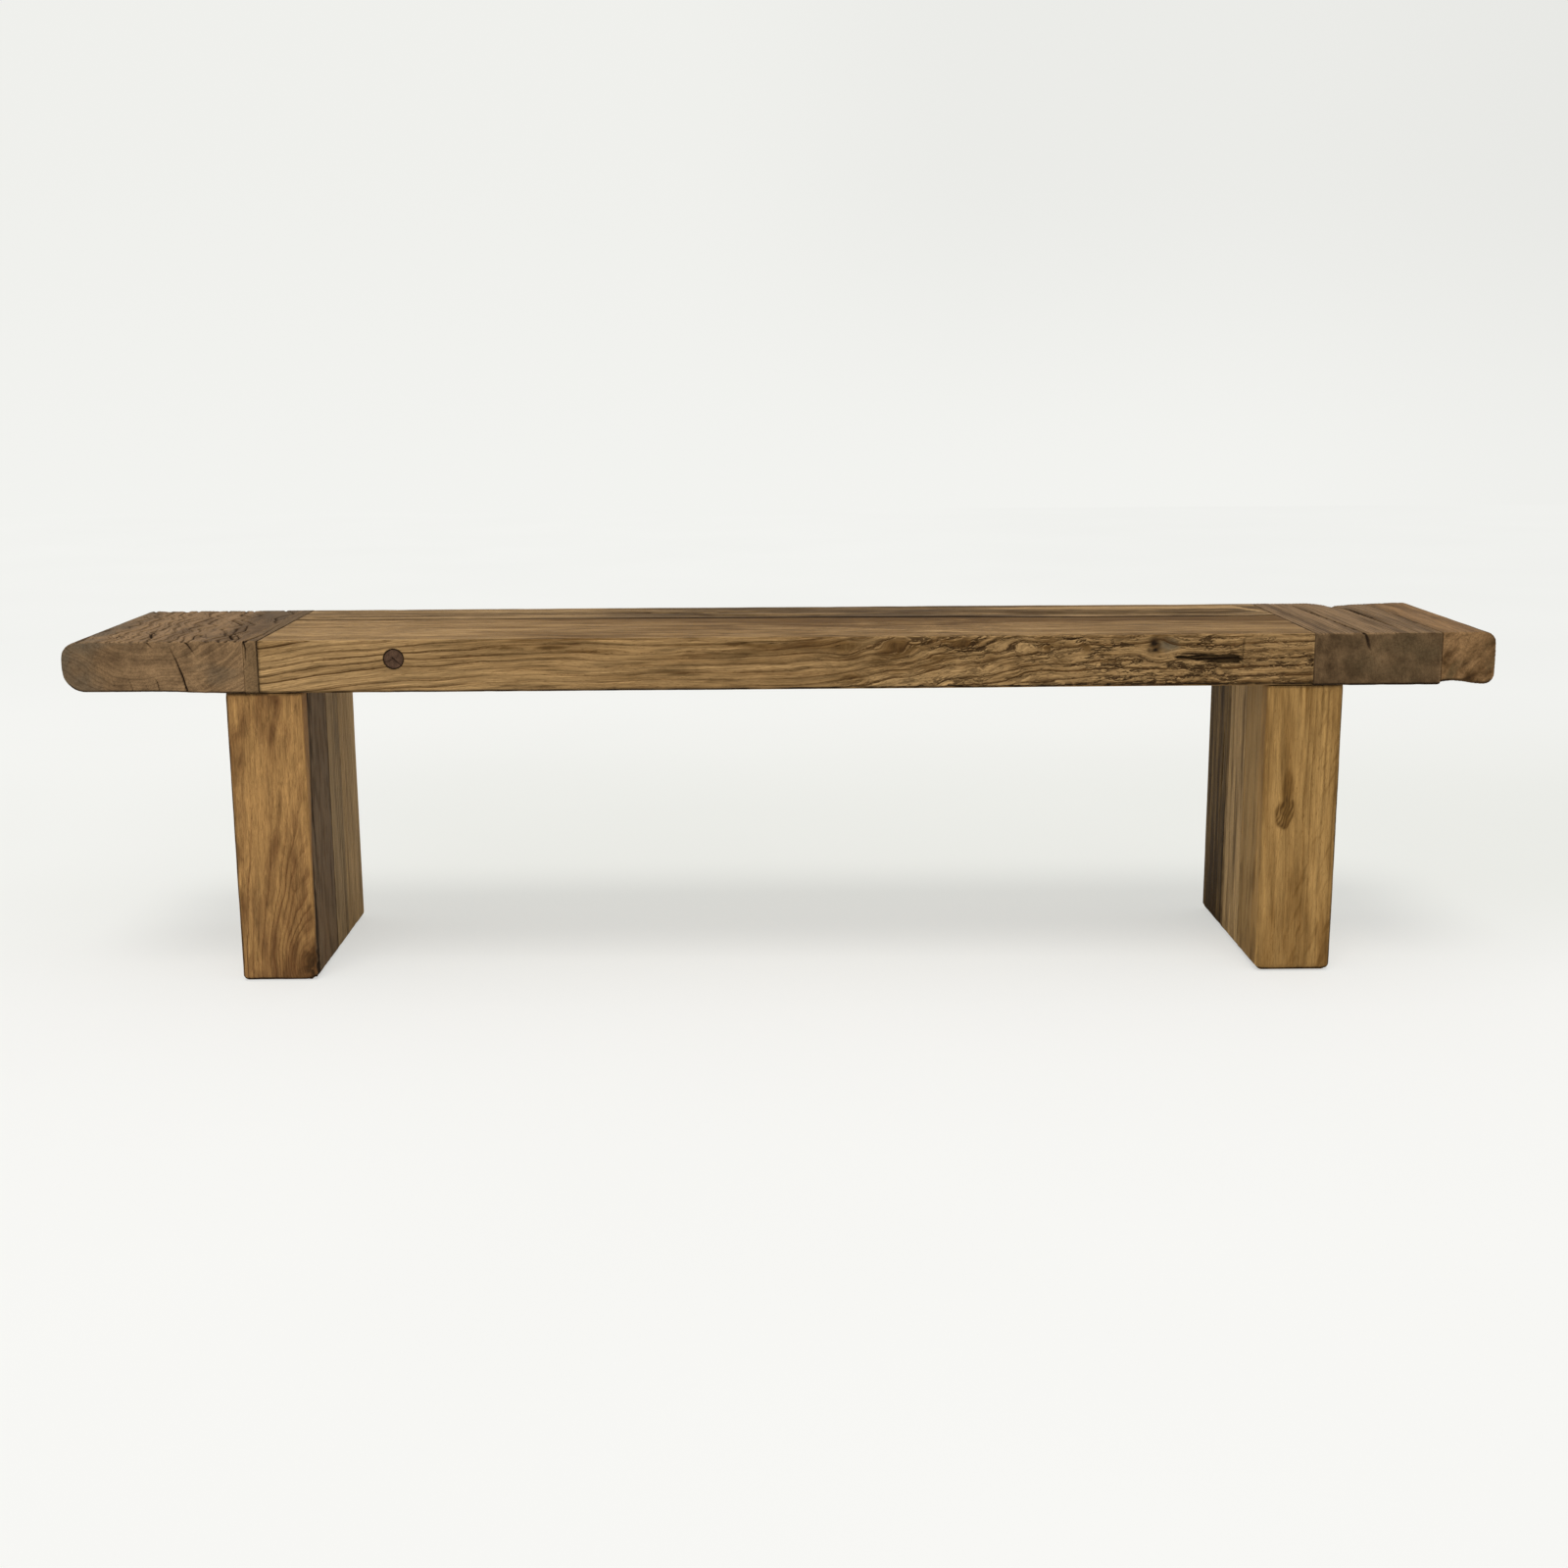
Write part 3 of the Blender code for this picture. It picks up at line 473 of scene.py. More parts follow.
# The oaks: the axis of the grain, the light, dark, line and grey colours, and the strengths of the
# rings' lines, the fibres, the mottling and the streaks
OAKS = {
    "honey_oak": (X, (0.415, 0.258, 0.112), (0.158, 0.086, 0.03), (0.072, 0.034, 0.011),
        (0.17, 0.127, 0.075), 1.1, 0.95, 0.85, 0.7),
    "brown_beam_oak": (X, (0.37, 0.235, 0.108), (0.157, 0.096, 0.042), (0.06, 0.033, 0.015),
        (0.105, 0.075, 0.046), 1.0, 1.0, 1.2, 0.7),
    "brown_block_oak": (Y, (0.3, 0.185, 0.092), (0.128, 0.077, 0.039), (0.06, 0.034, 0.017),
        (0.135, 0.102, 0.066), 0.85, 0.58, 0.7, 0.3),
    "slip_oak": (Y, (0.225, 0.138, 0.066), (0.135, 0.082, 0.04), (0.075, 0.044, 0.022),
        (0.15, 0.098, 0.05), 0.7, 0.7, 0.9, 0.3),
    "dark_block_oak": (Y, (0.262, 0.163, 0.082), (0.075, 0.045, 0.022), (0.045, 0.025, 0.012),
        (0.095, 0.068, 0.035), 0.8, 0.48, 0.62, 0.3),
    "outer_block_oak": (Y, (0.275, 0.158, 0.07), (0.09, 0.047, 0.018), (0.06, 0.031, 0.012),
        (0.105, 0.07, 0.032), 0.85, 0.65, 1.2, 0.3),
    "golden_oak_left": (Z, (0.38, 0.211, 0.076), (0.168, 0.083, 0.031), (0.115, 0.05, 0.018),
        (0.149, 0.1, 0.055), 0.95, 0.75, 1.0, 0.35),
    "grey_oak_left": (Z, (0.32, 0.218, 0.108), (0.175, 0.115, 0.052), (0.1, 0.062, 0.03),
        (0.12, 0.09, 0.058), 0.8, 0.8, 1.1, 0.45),
    "brown_oak_left": (Z, (0.395, 0.258, 0.118), (0.215, 0.136, 0.058), (0.105, 0.062, 0.027),
        (0.125, 0.092, 0.055), 0.8, 0.8, 0.9, 0.4),
    "golden_oak_right": (Z, (0.392, 0.23, 0.08), (0.172, 0.088, 0.025), (0.125, 0.06, 0.015),
        (0.33, 0.209, 0.084), 0.85, 0.6, 0.9, 0.3),
    "brown_oak_right": (Z, (0.425, 0.278, 0.126), (0.172, 0.106, 0.042), (0.085, 0.05, 0.02),
        (0.12, 0.088, 0.055), 0.9, 0.9, 1.2, 0.5),
    "dark_oak_right": (Z, (0.21, 0.132, 0.052), (0.054, 0.031, 0.011), (0.036, 0.02, 0.008),
        (0.075, 0.052, 0.03), 0.8, 1.0, 1.2, 0.5),
    "peg_oak": (Y, (0.135, 0.076, 0.046), (0.06, 0.032, 0.02), (0.032, 0.018, 0.011),
        (0.085, 0.054, 0.036), 0.8, 0.8, 0.8, 0.5),
}


def oak(name, eaten=False):
    """Waxed old oak, whose grain follows the bend mark.

    The base runs from light to dark with the tone mark and with broad streaks. Each growth ring
    starts with a dark line that fades across it, of its own strength. Fibres are noise drawn out
    along the grain, pores its darkest dashes. Weathering greys it by the stain mark, wear lightens
    arrises, and the hollow mark darkens knots, dirt, joints and dark streaks and is painted shade
    in cuts, cracks and along undersides. Eaten oak also has small pits, painted dark as shade in
    them, with painted highlights on the lips just below them.
    """
    axis, light, dark, line, grey, bold, fibre, mottle, streaky = OAKS[name]
    material = bpy.data.materials.new(name)
    g = Graph(material)
    place = g.parts(g.add("TexCoord").outputs["Object"])
    bent = ACROSS[axis][1]
    place[bent] = place[bent] + g.attribute("bend")
    straight = g.join(place)

    def grain(along, across, detail=2.0, roughness=0.5):
        """Noise in cells per metre along the grain and across it."""
        cells = [across] * 3
        cells[axis] = along
        return g.noise(g.times(straight, cells), detail, roughness)

    fine = grain(26, 620, 4.0, 0.65)
    middle = grain(11, 210, 3.0, 0.6)
    streaks = grain(12, 105, 4.0, 0.62)
    broad = grain(3.6, 48, 2.0)
    blotch = grain(11, 46, 3.0, 0.6)
    dashes = grain(130, 1150, 1.0)

    phase = g.attribute("rings") + (middle - 0.5) * 0.32
    share = g.math("FRACT", phase)
    own = g.math("FRACT", g.math("SINE", g.math("FLOOR", phase) * CHANCE_TURN) * 43.758)
    start = g.step(0.0, 0.05, share)
    ring = start * (1 - g.step(0.08, 0.5, share)) * (0.35 + own * 0.65)
    ring = ring * g.step(0.32, 0.56, broad + own * 0.22 - 0.05) * g.attribute("bold") * bold
    thin = g.math("FRACT", phase * 3.3)
    thin = (1 - g.step(0.0, 0.5, thin)) * g.step(0.42, 0.62, middle) * g.attribute("bold") * (0.5 * bold)

    tone = g.attribute("tone") + (broad - 0.5) * (1.6 * mottle) + (blotch - 0.5) * (1.1 * mottle)
    base = g.mix(g.clamp(tone), light, dark)
    stain = g.clamp(g.attribute("stain") * (0.5 + middle) + (blotch - 0.56) * (0.8 * mottle))
    base = g.mix(stain, base, grey)
    streak = g.step(0.5, 0.7, streaks + (blotch - 0.5) * 0.25) * g.clamp(g.attribute("tone") * 1.5 + 0.15)
    base = g.mix(g.clamp(streak * streaky), base, line)
    base = g.mix(g.clamp(ring + thin), base, line)
    base = g.shade(base, (fine - 0.5) * (2.0 * fibre) + (middle - 0.5) * (1.6 * fibre) + 1.03)
    pores = g.step(0.6, 0.68, dashes) * (0.3 + ring + (fine - 0.5))
    base = g.mix(g.clamp(pores), base, line)
    worn = g.attribute("worn") * g.step(0.38, 0.6, fine * 0.5 + blotch * 0.5)
    base = g.mix(g.clamp(worn * 0.75), base, tuple(c * 1.35 for c in light))
    height = (fine - 0.5) * 0.9 + (middle - 0.5) * 0.8 - ring * 1.1 - thin * 0.5 - pores * 0.5
    # The hollow mark: the dark of knots, dirt, joints and streaks, and painted shade in cuts, cracks and
    # along undersides
    deep = g.clamp(g.attribute("hollow") * 1.25 - (1 - g.step(0.42, 0.58, fine)) * 0.25)
    if eaten:
        amount = g.attribute("eaten")
        above = g.add("VectorMath", {"operation": "ADD"}, {0: straight, 1: (0, 0, 0.0014)}).outputs[0]

        def rotted(where):
            """Crooked cracks, where a web of noise is near its middle, and pits where rot is deep."""
            rot = g.noise(g.times(where, (38, 160, 160)), 4.0, 0.6)
            web = g.noise(g.times(where, (38, 175, 175)), 3.0, 0.6)
            crack = 1 - g.step(0.008, 0.05, g.math("ABSOLUTE", web - 0.5))
            return g.clamp(crack * g.step(0.42, 0.54, rot) + g.step(0.575, 0.62, rot))

        # Pits are painted dark, painted shade in them, and the lips just below cracks and pits are painted
        # lighter, a painted highlight as from light above
        pits = rotted(straight) * amount
        painted_highlight_lips = g.clamp(rotted(above) * amount - pits)
        base = g.mix(g.clamp(painted_highlight_lips * 0.75), base, tuple(c * 1.2 for c in light))
        base = g.mix(pits * 0.92, base, PIT)
        height = height + painted_highlight_lips * 0.6 - pits * 2.4
    base = g.mix(deep, base, DEEP)
    roughness = g.clamp(0.6 + ring * 0.1 + (middle - 0.5) * 0.3 + deep * 0.3)
    g.finish(base, roughness, height)
    return material


# Faces: an axis and whether it is the high side
FRONT, BACK = (Y, False), (Y, True)
LEFT, RIGHT = (X, False), (X, True)
UNDER, TOP = (Z, False), (Z, True)
# Radii of arrises: where timbers meet, at the sawn ends of the beams, on the legs and round their feet
JOINT = 0.001
BEAM_ENDS = ((0.0012,) * 4,) * 2
LEG_ARRIS = 0.006
LEFT_FOOT = 0.0075
RIGHT_FOOT = 0.0105
# Where the seam between the beams starts and ends, and the width of the dirt along it by place
SEAM_AT_LEFT = 0.0545
SEAM_AT_RIGHT = 0.0265
SEAM_DIRT_WIDTHS = (
    (-0.67, 0.01), (-0.2, 0.01), (0.22, 0.014), (0.34, 0.024), (0.6, 0.022), (0.67, 0.006),
)
# The old mortise: where its point is, its length, the height of its middle, its depth and its saw line
MORTISE_POINT = 0.506
MORTISE_LENGTH = 0.083
MORTISE_HEIGHT = 0.42
MORTISE_DEPTH = 0.01
SAW_LINE = 0.5895
# The glue gap round the peg, and how near its rim a point has to be to move onto it
PEG_GAP = 0.0003
PEG_CATCH = 0.00065
# Spacings: the front beam's rings, the lines over the left block and the hatching of the long knot
FRONT_BEAM_RING = 0.0064
LEFT_LINE_SPACING = 0.0148
HATCH_SPACING = 0.0042
# The rise of the left block's underside, the depth of the notch at the back by place, and the rise
# of the right outer timber's underside by shares of its width
LEFT_RISE = 0.003
NOTCH_DEPTHS = (
    (0.76, 0.0), (0.774, 0.0012), (0.786, 0.003), (0.794, 0.0058), (0.797, 0.0064), (0.802, 0.0042),
    (0.809, 0.0034), (0.825, 0.0022), (0.85, 0.0012), (0.885, 0.0),
)
OUTER_HOLLOW = (
    (0, 0.003), (0.1, 0.0042), (0.23, 0.0049), (0.44, 0.0034), (0.62, 0.001), (0.75, 0), (1, 0),
)

# Long splits of the left block's top, in shares of its width and depth, and how open
LEFT_TOP_SPLITS = (
    ((0.47, 0.02, 0.3), (0.455, 0.12, 0.9), (0.41, 0.22, 0.8), (0.385, 0.36, 0.3)),
    ((0.9, -0.02, 0.8), (0.925, 0.06, 1.0), (0.865, 0.18, 0.9), (0.905, 0.3, 0.8), (0.855, 0.48, 0.4)),
    ((0.96, -0.02, 0.6), (0.955, 0.08, 0.8), (0.905, 0.19, 0.5), (0.935, 0.3, 0.3)),
    ((0.7, -0.02, 0.7), (0.705, 0.07, 0.7), (0.67, 0.17, 0.5), (0.69, 0.3, 0.2)),
    ((0.25, 0.05, 0.4), (0.265, 0.12, 0.7), (0.23, 0.24, 0.3)),
)
LEFT_SPLIT_WIDTH = 0.0045
LEFT_SPLIT_DEPTH = 0.0048
# Splits: face, wobble, first seed, and for each split its points (first, second, width, depth) in
# the face's two axes
SPLITS = {
    "rear_beam": ((TOP, 0.0006, 3, (
        ((-0.15, 0.07, 0.001, 0.001), (-0.1, 0.062, 0.01, 0.003), (-0.03, 0.057, 0.014, 0.004),
         (0.05, 0.052, 0.01, 0.003), (0.1, 0.05, 0.001, 0.001)),
        ((-0.25, 0.112, 0.001, 0.0006), (-0.215, 0.109, 0.012, 0.002), (-0.13, 0.085, 0.012, 0.002),
         (-0.05, 0.105, 0.009, 0.002), (0.02, 0.11, 0.001, 0.0006)),
    )),),
    "seam_of_rear_beam": ((TOP, 0.0006, 12, (
        ((-0.667, 0.061, 0.014, 0.004), (-0.645, 0.058, 0.008, 0.003), (-0.6, 0.056, 0.002, 0.001)),
    )),),
    "left_end_block": ((FRONT, 0.0004, 10, (
        ((-0.777, 0.446, 0.0014, 0.0005), (-0.768, 0.424, 0.0026, 0.002), (-0.762, 0.406, 0.0032, 0.0028),
         (-0.756, 0.382, 0.0034, 0.0028)),
        ((-0.756, 0.45, 0.003, 0.004), (-0.75, 0.442, 0.0022, 0.002), (-0.743, 0.431, 0.001, 0.0006)),
        ((-0.805, 0.45, 0.0024, 0.002), (-0.799, 0.443, 0.0018, 0.0012), (-0.7925, 0.4366, 0.0008, 0.0005)),
        ((-0.797, 0.402, 0.0008, 0.0006), (-0.794, 0.396, 0.0018, 0.0015), (-0.7916, 0.386, 0.0022, 0.002)),
        ((-0.829, 0.399, 0.0008, 0.0006), (-0.8265, 0.39, 0.0016, 0.0014), (-0.8255, 0.384, 0.0018, 0.0014)),
        ((-0.8495, 0.398, 0.0007, 0.0005), (-0.848, 0.392, 0.0013, 0.001), (-0.847, 0.386, 0.0014, 0.001)),
        ((-0.81, 0.397, 0.0007, 0.0005), (-0.808, 0.391, 0.0012, 0.001), (-0.807, 0.386, 0.0014, 0.001)),
    )),),
    "left_end_slip": (
        (TOP, 0.0006, 5, (
            ((-0.6815, -0.17, 0.007, 0.006), (-0.677, -0.145, 0.005, 0.004), (-0.673, -0.1, 0.003, 0.002),
             (-0.676, -0.02, 0.002, 0.001), (-0.672, 0.05, 0.0015, 0.001)),
        )),
        (FRONT, 0.0003, 6, (
            ((-0.683, 0.451, 0.0036, 0.003), (-0.6795, 0.44, 0.0022, 0.002), (-0.6805, 0.425, 0.001, 0.001)),
        )),
    ),
    "right_inner_block": (
        (TOP, 0.0005, 6, (
            ((0.7325, 0.15, 0.0012, 0.002), (0.7335, 0.125, 0.0042, 0.006), (0.737, 0.05, 0.0047, 0.007),
             (0.741, -0.06, 0.0049, 0.007), (0.7445, -0.17, 0.0042, 0.006)),
            ((0.795, 0.17, 0.006, 0.004), (0.796, 0.148, 0.006, 0.006), (0.797, 0.115, 0.005, 0.006),
             (0.799, 0.073, 0.0074, 0.008), (0.8005, 0.0, 0.0068, 0.008), (0.8008, -0.07, 0.0046, 0.006),
             (0.802, -0.1265, 0.0012, 0.001)),
        )),
        (TOP, 0.0005, 9, (
            ((0.7, 0.16, 0.001, 0.0005), (0.706, 0.05, 0.002, 0.001), (0.71, -0.08, 0.001, 0.0005)),
        )),
        (FRONT, 0.0014, 8, (
            ((0.7445, 0.452, 0.0034, 0.0024), (0.7465, 0.443, 0.0062, 0.002), (0.751, 0.433, 0.0052, 0.0016),
             (0.7545, 0.424, 0.0015, 0.0004)),
        )),
    ),
    "right_outer_block": ((FRONT, 0.0012, 14, (
        ((0.866, 0.396, 0.003, 0.0002), (0.876, 0.407, 0.005, 0.0009), (0.888, 0.415, 0.003, 0.0003)),
        ((0.872, 0.383, 0.006, 0.0006), (0.881, 0.388, 0.009, 0.0014), (0.889, 0.395, 0.003, 0.0003)),
    )),),
    "right_leg_rear_post": ((LEFT, 0.0006, 9, (
        ((0.055, 0.31, 0.0012, 0.001), (0.06, 0.26, 0.005, 0.004), (0.062, 0.22, 0.0045, 0.003),
         (0.066, 0.16, 0.0012, 0.001)),
    )),),
}


def crosswise(node, steps, arrises, ends):
    """A crosswise timber, whose grid is finer at its edges, and both of whose ends are eased alike."""
    low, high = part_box(node)
    grids = [edged(low[k], high[k], step) for k, step in enumerate(steps)]
    return Timber(node, Y, grids, arrises, (ends, ends))


def front_beam():
    """The long front timber: coarse flowing lines at the left, eaten by worms at the right."""
    node = "front_beam"
    low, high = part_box(node)
    xs = lines(
        low.x, high.x, (low.x, 0.0012), (-0.655, 0.006), (-0.513, 0.006), (-0.509, 0.0011), (-0.477, 0.0011),
        (-0.473, 0.006), (0.02, 0.0056), (0.12, 0.0036), (0.27, 0.0026), (0.33, 0.002), (0.5, 0.0019),
        (0.51, 0.0015), (0.59, 0.0015), (0.61, 0.0019), (high.x - 0.01, 0.002), (high.x, 0.0012)
    )
    ys = edged(low.y, high.y, 0.008, 0.0009, 0.018)
    zs = edged(low.z, high.z, 0.00115, 0.0007, 0.008)
    under = [(low.x, 0.004), (-0.1, 0.005), (0.25, 0.007), (0.5, 0.01), (high.x, 0.009)]
    over = [(low.x, 0.003), (-0.5, 0.0035), (-0.1, 0.004), (0.25, 0.0045), (high.x, 0.004)]
    timber = Timber(node, X, (xs, ys, zs), (under, JOINT, 0.0025, over), BEAM_ENDS)
    timber.reshape(Y, lambda p: (p[:, Y] - low.y) / (high.y - low.y) * (seam_line(p[:, X]) - high.y))
    x, y, _ = timber.points.T
    drift = [
        (-0.67, -0.0215), (-0.58, -0.0105), (-0.49, -0.001), (-0.4, 0.0035), (-0.2, 0.0065), (0.0, 0.009),
        (0.1, 0.017), (0.2, 0.037), (0.3, 0.058), (0.4, 0.066), (0.69, 0.069)
    ]
    eyes = [((at, low.y, up), (size, 0.03, opening), opening) for at, up, size, opening, _ in BEAM_EYES]
    timber.grow((0.25, 0.0), FRONT_BEAM_RING, drift, 0.0032, (0.13, 0.05), eyes, 3)
    burl = ramp(0.05, 0.16, x) * (1 - ramp(0.32, 0.45, x))
    turn = 0.0034 * burl * timber.clouds((0.055, 0.05, 0.028), 41)
    timber.bend += turn
    timber.rings += turn / FRONT_BEAM_RING
    front, top = timber.side(FRONT), timber.side(TOP)
    at_left = 1 - ramp(-0.52, -0.3, x)
    timber.groove(0.0009, 0.1, front * (0.25 + 0.75 * np.maximum(at_left, burl)))
    near_front = top * (1 - ramp(0.003, 0.013, y - low.y))
    amount = np.maximum(front, 0.7 * near_front)
    amount *= ramp(-0.04, 0.26, x + 0.05 * timber.clouds((0.06, 0.06, 0.02), 37))
    worm_eaten(timber, amount)
    old_mortise(timber)
    timber.weather(0.0007, 1)
    colour_front_beam(timber, burl, at_left)
    # Darker along the lower front arris: painted shade under the beam
    timber.dirt_and_shade([(FRONT, UNDER)], 0.005, 0.85)
    timber.dirt_and_shade([(LEFT, FRONT), (LEFT, TOP)], 0.0025, 0.6)
    seam_dirt(timber)
    peg_hole(timber)
    timber.finish(oak("honey_oak", True), "honey_oak", (RIGHT, LEFT, BACK))


def colour_front_beam(timber, burl, at_left):
    """Swirls and streaks over the front, a dark knot beside a grey one, a top that darkens to the
    right and towards the seam, and a darker band along the lower arris at the right, painted shade."""
    low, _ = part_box(timber.node)
    p = timber.points
    x, y, z = p.T
    front, top = timber.side(FRONT), timber.side(TOP)
    swirls = sum(
        tone * timber.bell((at, low.y, up), (size * 0.8, 0.02, opening * 1.3))
        for at, up, size, opening, tone in BEAM_EYES
    )
    streaks = sum(
        tone * timber.bell((at, low.y, up), (length, 0.02, height))
        for at, up, length, height, tone in BEAM_STREAKS
    ) * ramp(-0.5, 0.4, timber.clouds((0.02, 0.02, 0.0035), 44) + 0.35)
    upper = ramp(0.405, 0.435, z)
    timber.tone = (
        (0.12 + 0.25 * ramp(-0.52, -0.3, x) - 0.16 * ramp(0.1, 0.4, x)) * front
        + (0.14 + 0.58 * ramp(-0.5, -0.15, x)) * top
        + (0.8 * ramp(-0.11, 0.03, y) - 0.34) * top * ramp(-0.3, 0.2, x)
        - 0.04 * top * ramp(0, 0.3, x)
        + 0.2 * upper * front * ramp(-0.5, -0.35, x)
        + 0.3 * timber.clouds((0.16, 0.05, 0.008), 21) * (0.7 + 0.3 * front)
        + 0.34 * timber.clouds((0.22, 0.012, 0.03), 45) * top * ramp(-0.1, 0.3, x)
        + 0.9 * (swirls + streaks) * front
        + 0.45 * burl * front * timber.clouds((0.035, 0.03, 0.016), 42)
        - 0.8 * timber.bell((0.19, low.y, 0.391), (0.075, 0.03, 0.009)) * front
        # painted shade on the rounded lower arris at the right
        + 0.85 * ramp(0.3, 0.6, x) * (1 - ramp(0.385, 0.394, z))
    )
    timber.bold = 0.55 + 0.45 * at_left + 0.4 * ramp(-0.1, 0.12, x)
    timber.bold *= 1 - 0.35 * top
    ragged = noise(p, (0.007, 0.01, 0.004), 43)
    torn = p + np.outer(ragged, (0.003, 0, 0.0018))
    dark_off = (torn - (0.4755, low.y, 0.4345)) / (0.0085, 0.02, 0.0125)
    knot = hump(np.linalg.norm(dark_off, axis=1) ** 1.8)
    grey_off = (torn - (0.4945, low.y, 0.436)) / (0.0135, 0.02, 0.0088)
    timber.stain = hump(np.linalg.norm(grey_off, axis=1) ** 2)
    timber.darken(np.clip(0.8 + 0.5 * ragged, 0, 0.95) * knot)
    timber.darken(0.45 * np.clip(streaks - 0.35, 0, 1) * front)
    timber.eaten *= 1 - 0.9 * np.clip(timber.stain + knot, 0, 1)


# Swirls of the front beam: place, height, half length, opening and how dark
BEAM_EYES = (
    (-0.018, 0.439, 0.026, 0.003, 0.5),
    (0.081, 0.437, 0.022, 0.007, 0.8),
    (0.143, 0.4355, 0.024, 0.008, 0.9),
    (0.231, 0.4395, 0.034, 0.0035, 0.8),
    (0.297, 0.4335, 0.03, 0.0045, -0.6),
    (0.3365, 0.4326, 0.008, 0.0036, 0.8),
    (0.389, 0.4334, 0.01, 0.0045, 0.8),
    (0.4825, 0.4345, 0.018, 0.0095, 0.8),
    (-0.33, 0.437, 0.06, 0.0026, 0.1),
    (-0.19, 0.433, 0.05, 0.0026, 0.1),
)
# Its dark streaks: place, height, half length, half height and how dark
BEAM_STREAKS = (
    (-0.353, 0.439, 0.022, 0.0024, 1.0),
    (-0.294, 0.4388, 0.02, 0.0024, 1.1),
    (-0.25, 0.433, 0.03, 0.0016, 0.6),
    (-0.12, 0.44, 0.03, 0.0018, 0.6),
    (-0.054, 0.4411, 0.016, 0.0026, 1.2),
    (0.05, 0.4395, 0.024, 0.0044, 1.0),
    (-0.012, 0.415, 0.03, 0.0016, 0.7),
    (0.088, 0.3965, 0.02, 0.005, 1.1),
    (0.335, 0.42, 0.02, 0.002, 0.9),
    (0.42, 0.415, 0.016, 0.002, 0.7),
)


def seam_line(x):
    """Where the seam between the beams runs: straight from its left end to its right end. Each beam's
    seam side leans onto it: a point shifts by its share of the beam's depth.
    """
    low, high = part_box("front_beam")
    return SEAM_AT_LEFT + (SEAM_AT_RIGHT - SEAM_AT_LEFT) * (x - low.x) / (high.x - low.x)


def seam_dirt(timber):
    """Dirt along the seam of the beams, wider where the rear beam is worn down, and at the left a dark
    band in front of it."""
    x, y, _ = timber.points.T
    width = np.interp(x, *zip(*SEAM_DIRT_WIDTHS))
    near = 1 - ramp(0.3, 1.0, np.abs(y - seam_line(x)) / width)
    amount = 0.5 + 0.35 * ramp(-0.4, -0.1, x)
    timber.darken(amount * near * timber.side(TOP))
    before = 1 - ramp(0.2, 1.0, np.abs(y - seam_line(x) + 0.005) / 0.015)
    timber.tone += 0.75 * before * timber.side(TOP) * (1 - ramp(-0.3, -0.05, x))


def worm_eaten(timber, amount):
    """Galleries and rot: noise drawn out along the bent grain, sunk in steps where it is high."""
    p = timber.points.copy()
    p[:, Z] += timber.bend
    large = noise(p, (0.014, 0.02, 0.0048), 32)
    small = noise(p, (0.008, 0.01, 0.0034), 33)
    patch = ramp(-0.5, 0.35, noise(p, (0.07, 0.05, 0.025), 34))
    deep = 0.75 * ramp(0.08, 0.34, large) + 0.5 * ramp(0.15, 0.4, small)
    eaten = np.clip(deep * (0.35 + 0.65 * patch) * amount, 0, 1)
    timber.sunk += 0.0025 * eaten
    # The galleries are darkened: painted shade in them
    timber.darken(0.36 * eaten)
    timber.eaten = amount * (0.6 + 0.4 * patch)


def old_mortise(timber):
    """The slot near the right end: it widens from a point to a square end, where a saw line crosses."""
    p = timber.flat
    x, _, z = p.T
    along = (x - MORTISE_POINT) / MORTISE_LENGTH
    ragged = noise(p, (0.014, 0.01, 0.005), 51) + 0.6 * noise(p, (0.006, 0.01, 0.003), 54)
    middle = MORTISE_HEIGHT - 0.0035 * along
    places = (-0.05, 0.02, 0.2, 0.36, 0.55, 0.8, 0.97, 1.0)
    half = np.interp(along, places, (0, 0.0024, 0.0036, 0.005, 0.0062, 0.0064, 0.0056, 0)) + 0.0013 * ragged
    inside = ramp(0, 0.0014, half - np.abs(z - middle)) * timber.side(FRONT)
    prong = hump((z - 0.4245) / 0.0016) * ramp(-0.02, 0.1, along) * (1 - ramp(0.35, 0.5, along))
    fibres = ramp(-0.1, 0.5, noise(p, (0.045, 0.01, 0.0026), 53)) * (1 - ramp(0.45, 0.75, along))
    # The slot, its prong and the saw line are darkened: painted shade in them
    timber.carve(MORTISE_DEPTH * inside - 0.004 * fibres * inside, inside * (0.8 - 0.16 * fibres))
    timber.carve(0.002 * prong * timber.side(FRONT), 0.8 * prong * timber.side(FRONT))
    saw = hump((x - SAW_LINE - 0.0012 * noise(p, (0.02, 0.02, 0.012), 52)) / 0.0013)
    saw *= ramp(0.403, 0.408, z) * (1 - ramp(0.44, 0.445, z)) * timber.side(FRONT)
    timber.carve(0.0014 * saw, 0.6 * saw)


def peg_round():
    """The middle of the peg across and up, and its radius."""
    low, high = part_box("beam_peg")
    return np.array(((low.x + high.x) / 2, (low.z + high.z) / 2)), (high.x - low.x) / 2


def peg_hole(timber):
    """The hole round the peg: the points nearest its rim move onto the rim, and those inside sink."""
    centre, radius = peg_round()
    rim = radius + PEG_GAP
    p = timber.points
    off = p[:, [X, Z]] - centre
    reach = np.hypot(off[:, 0], off[:, 1])
    front = p[:, Y] < timber.low[Y] + 0.002
    on_rim = front & (np.abs(reach - rim) < PEG_CATCH)
    inside = front & (reach <= rim - PEG_CATCH)
    wall = inside & (reach > rim - 0.0018)
    place = np.where(on_rim, rim, np.where(wall, rim - 0.0001, reach))
    p[:, [X, Z]] = centre + off * (place / np.maximum(reach, TINY))[:, None]
    timber.sunk = np.where(inside, 0.006, timber.sunk)
    timber.darken(np.where(front, 1 - ramp(rim, rim + 0.0016, reach), 0))


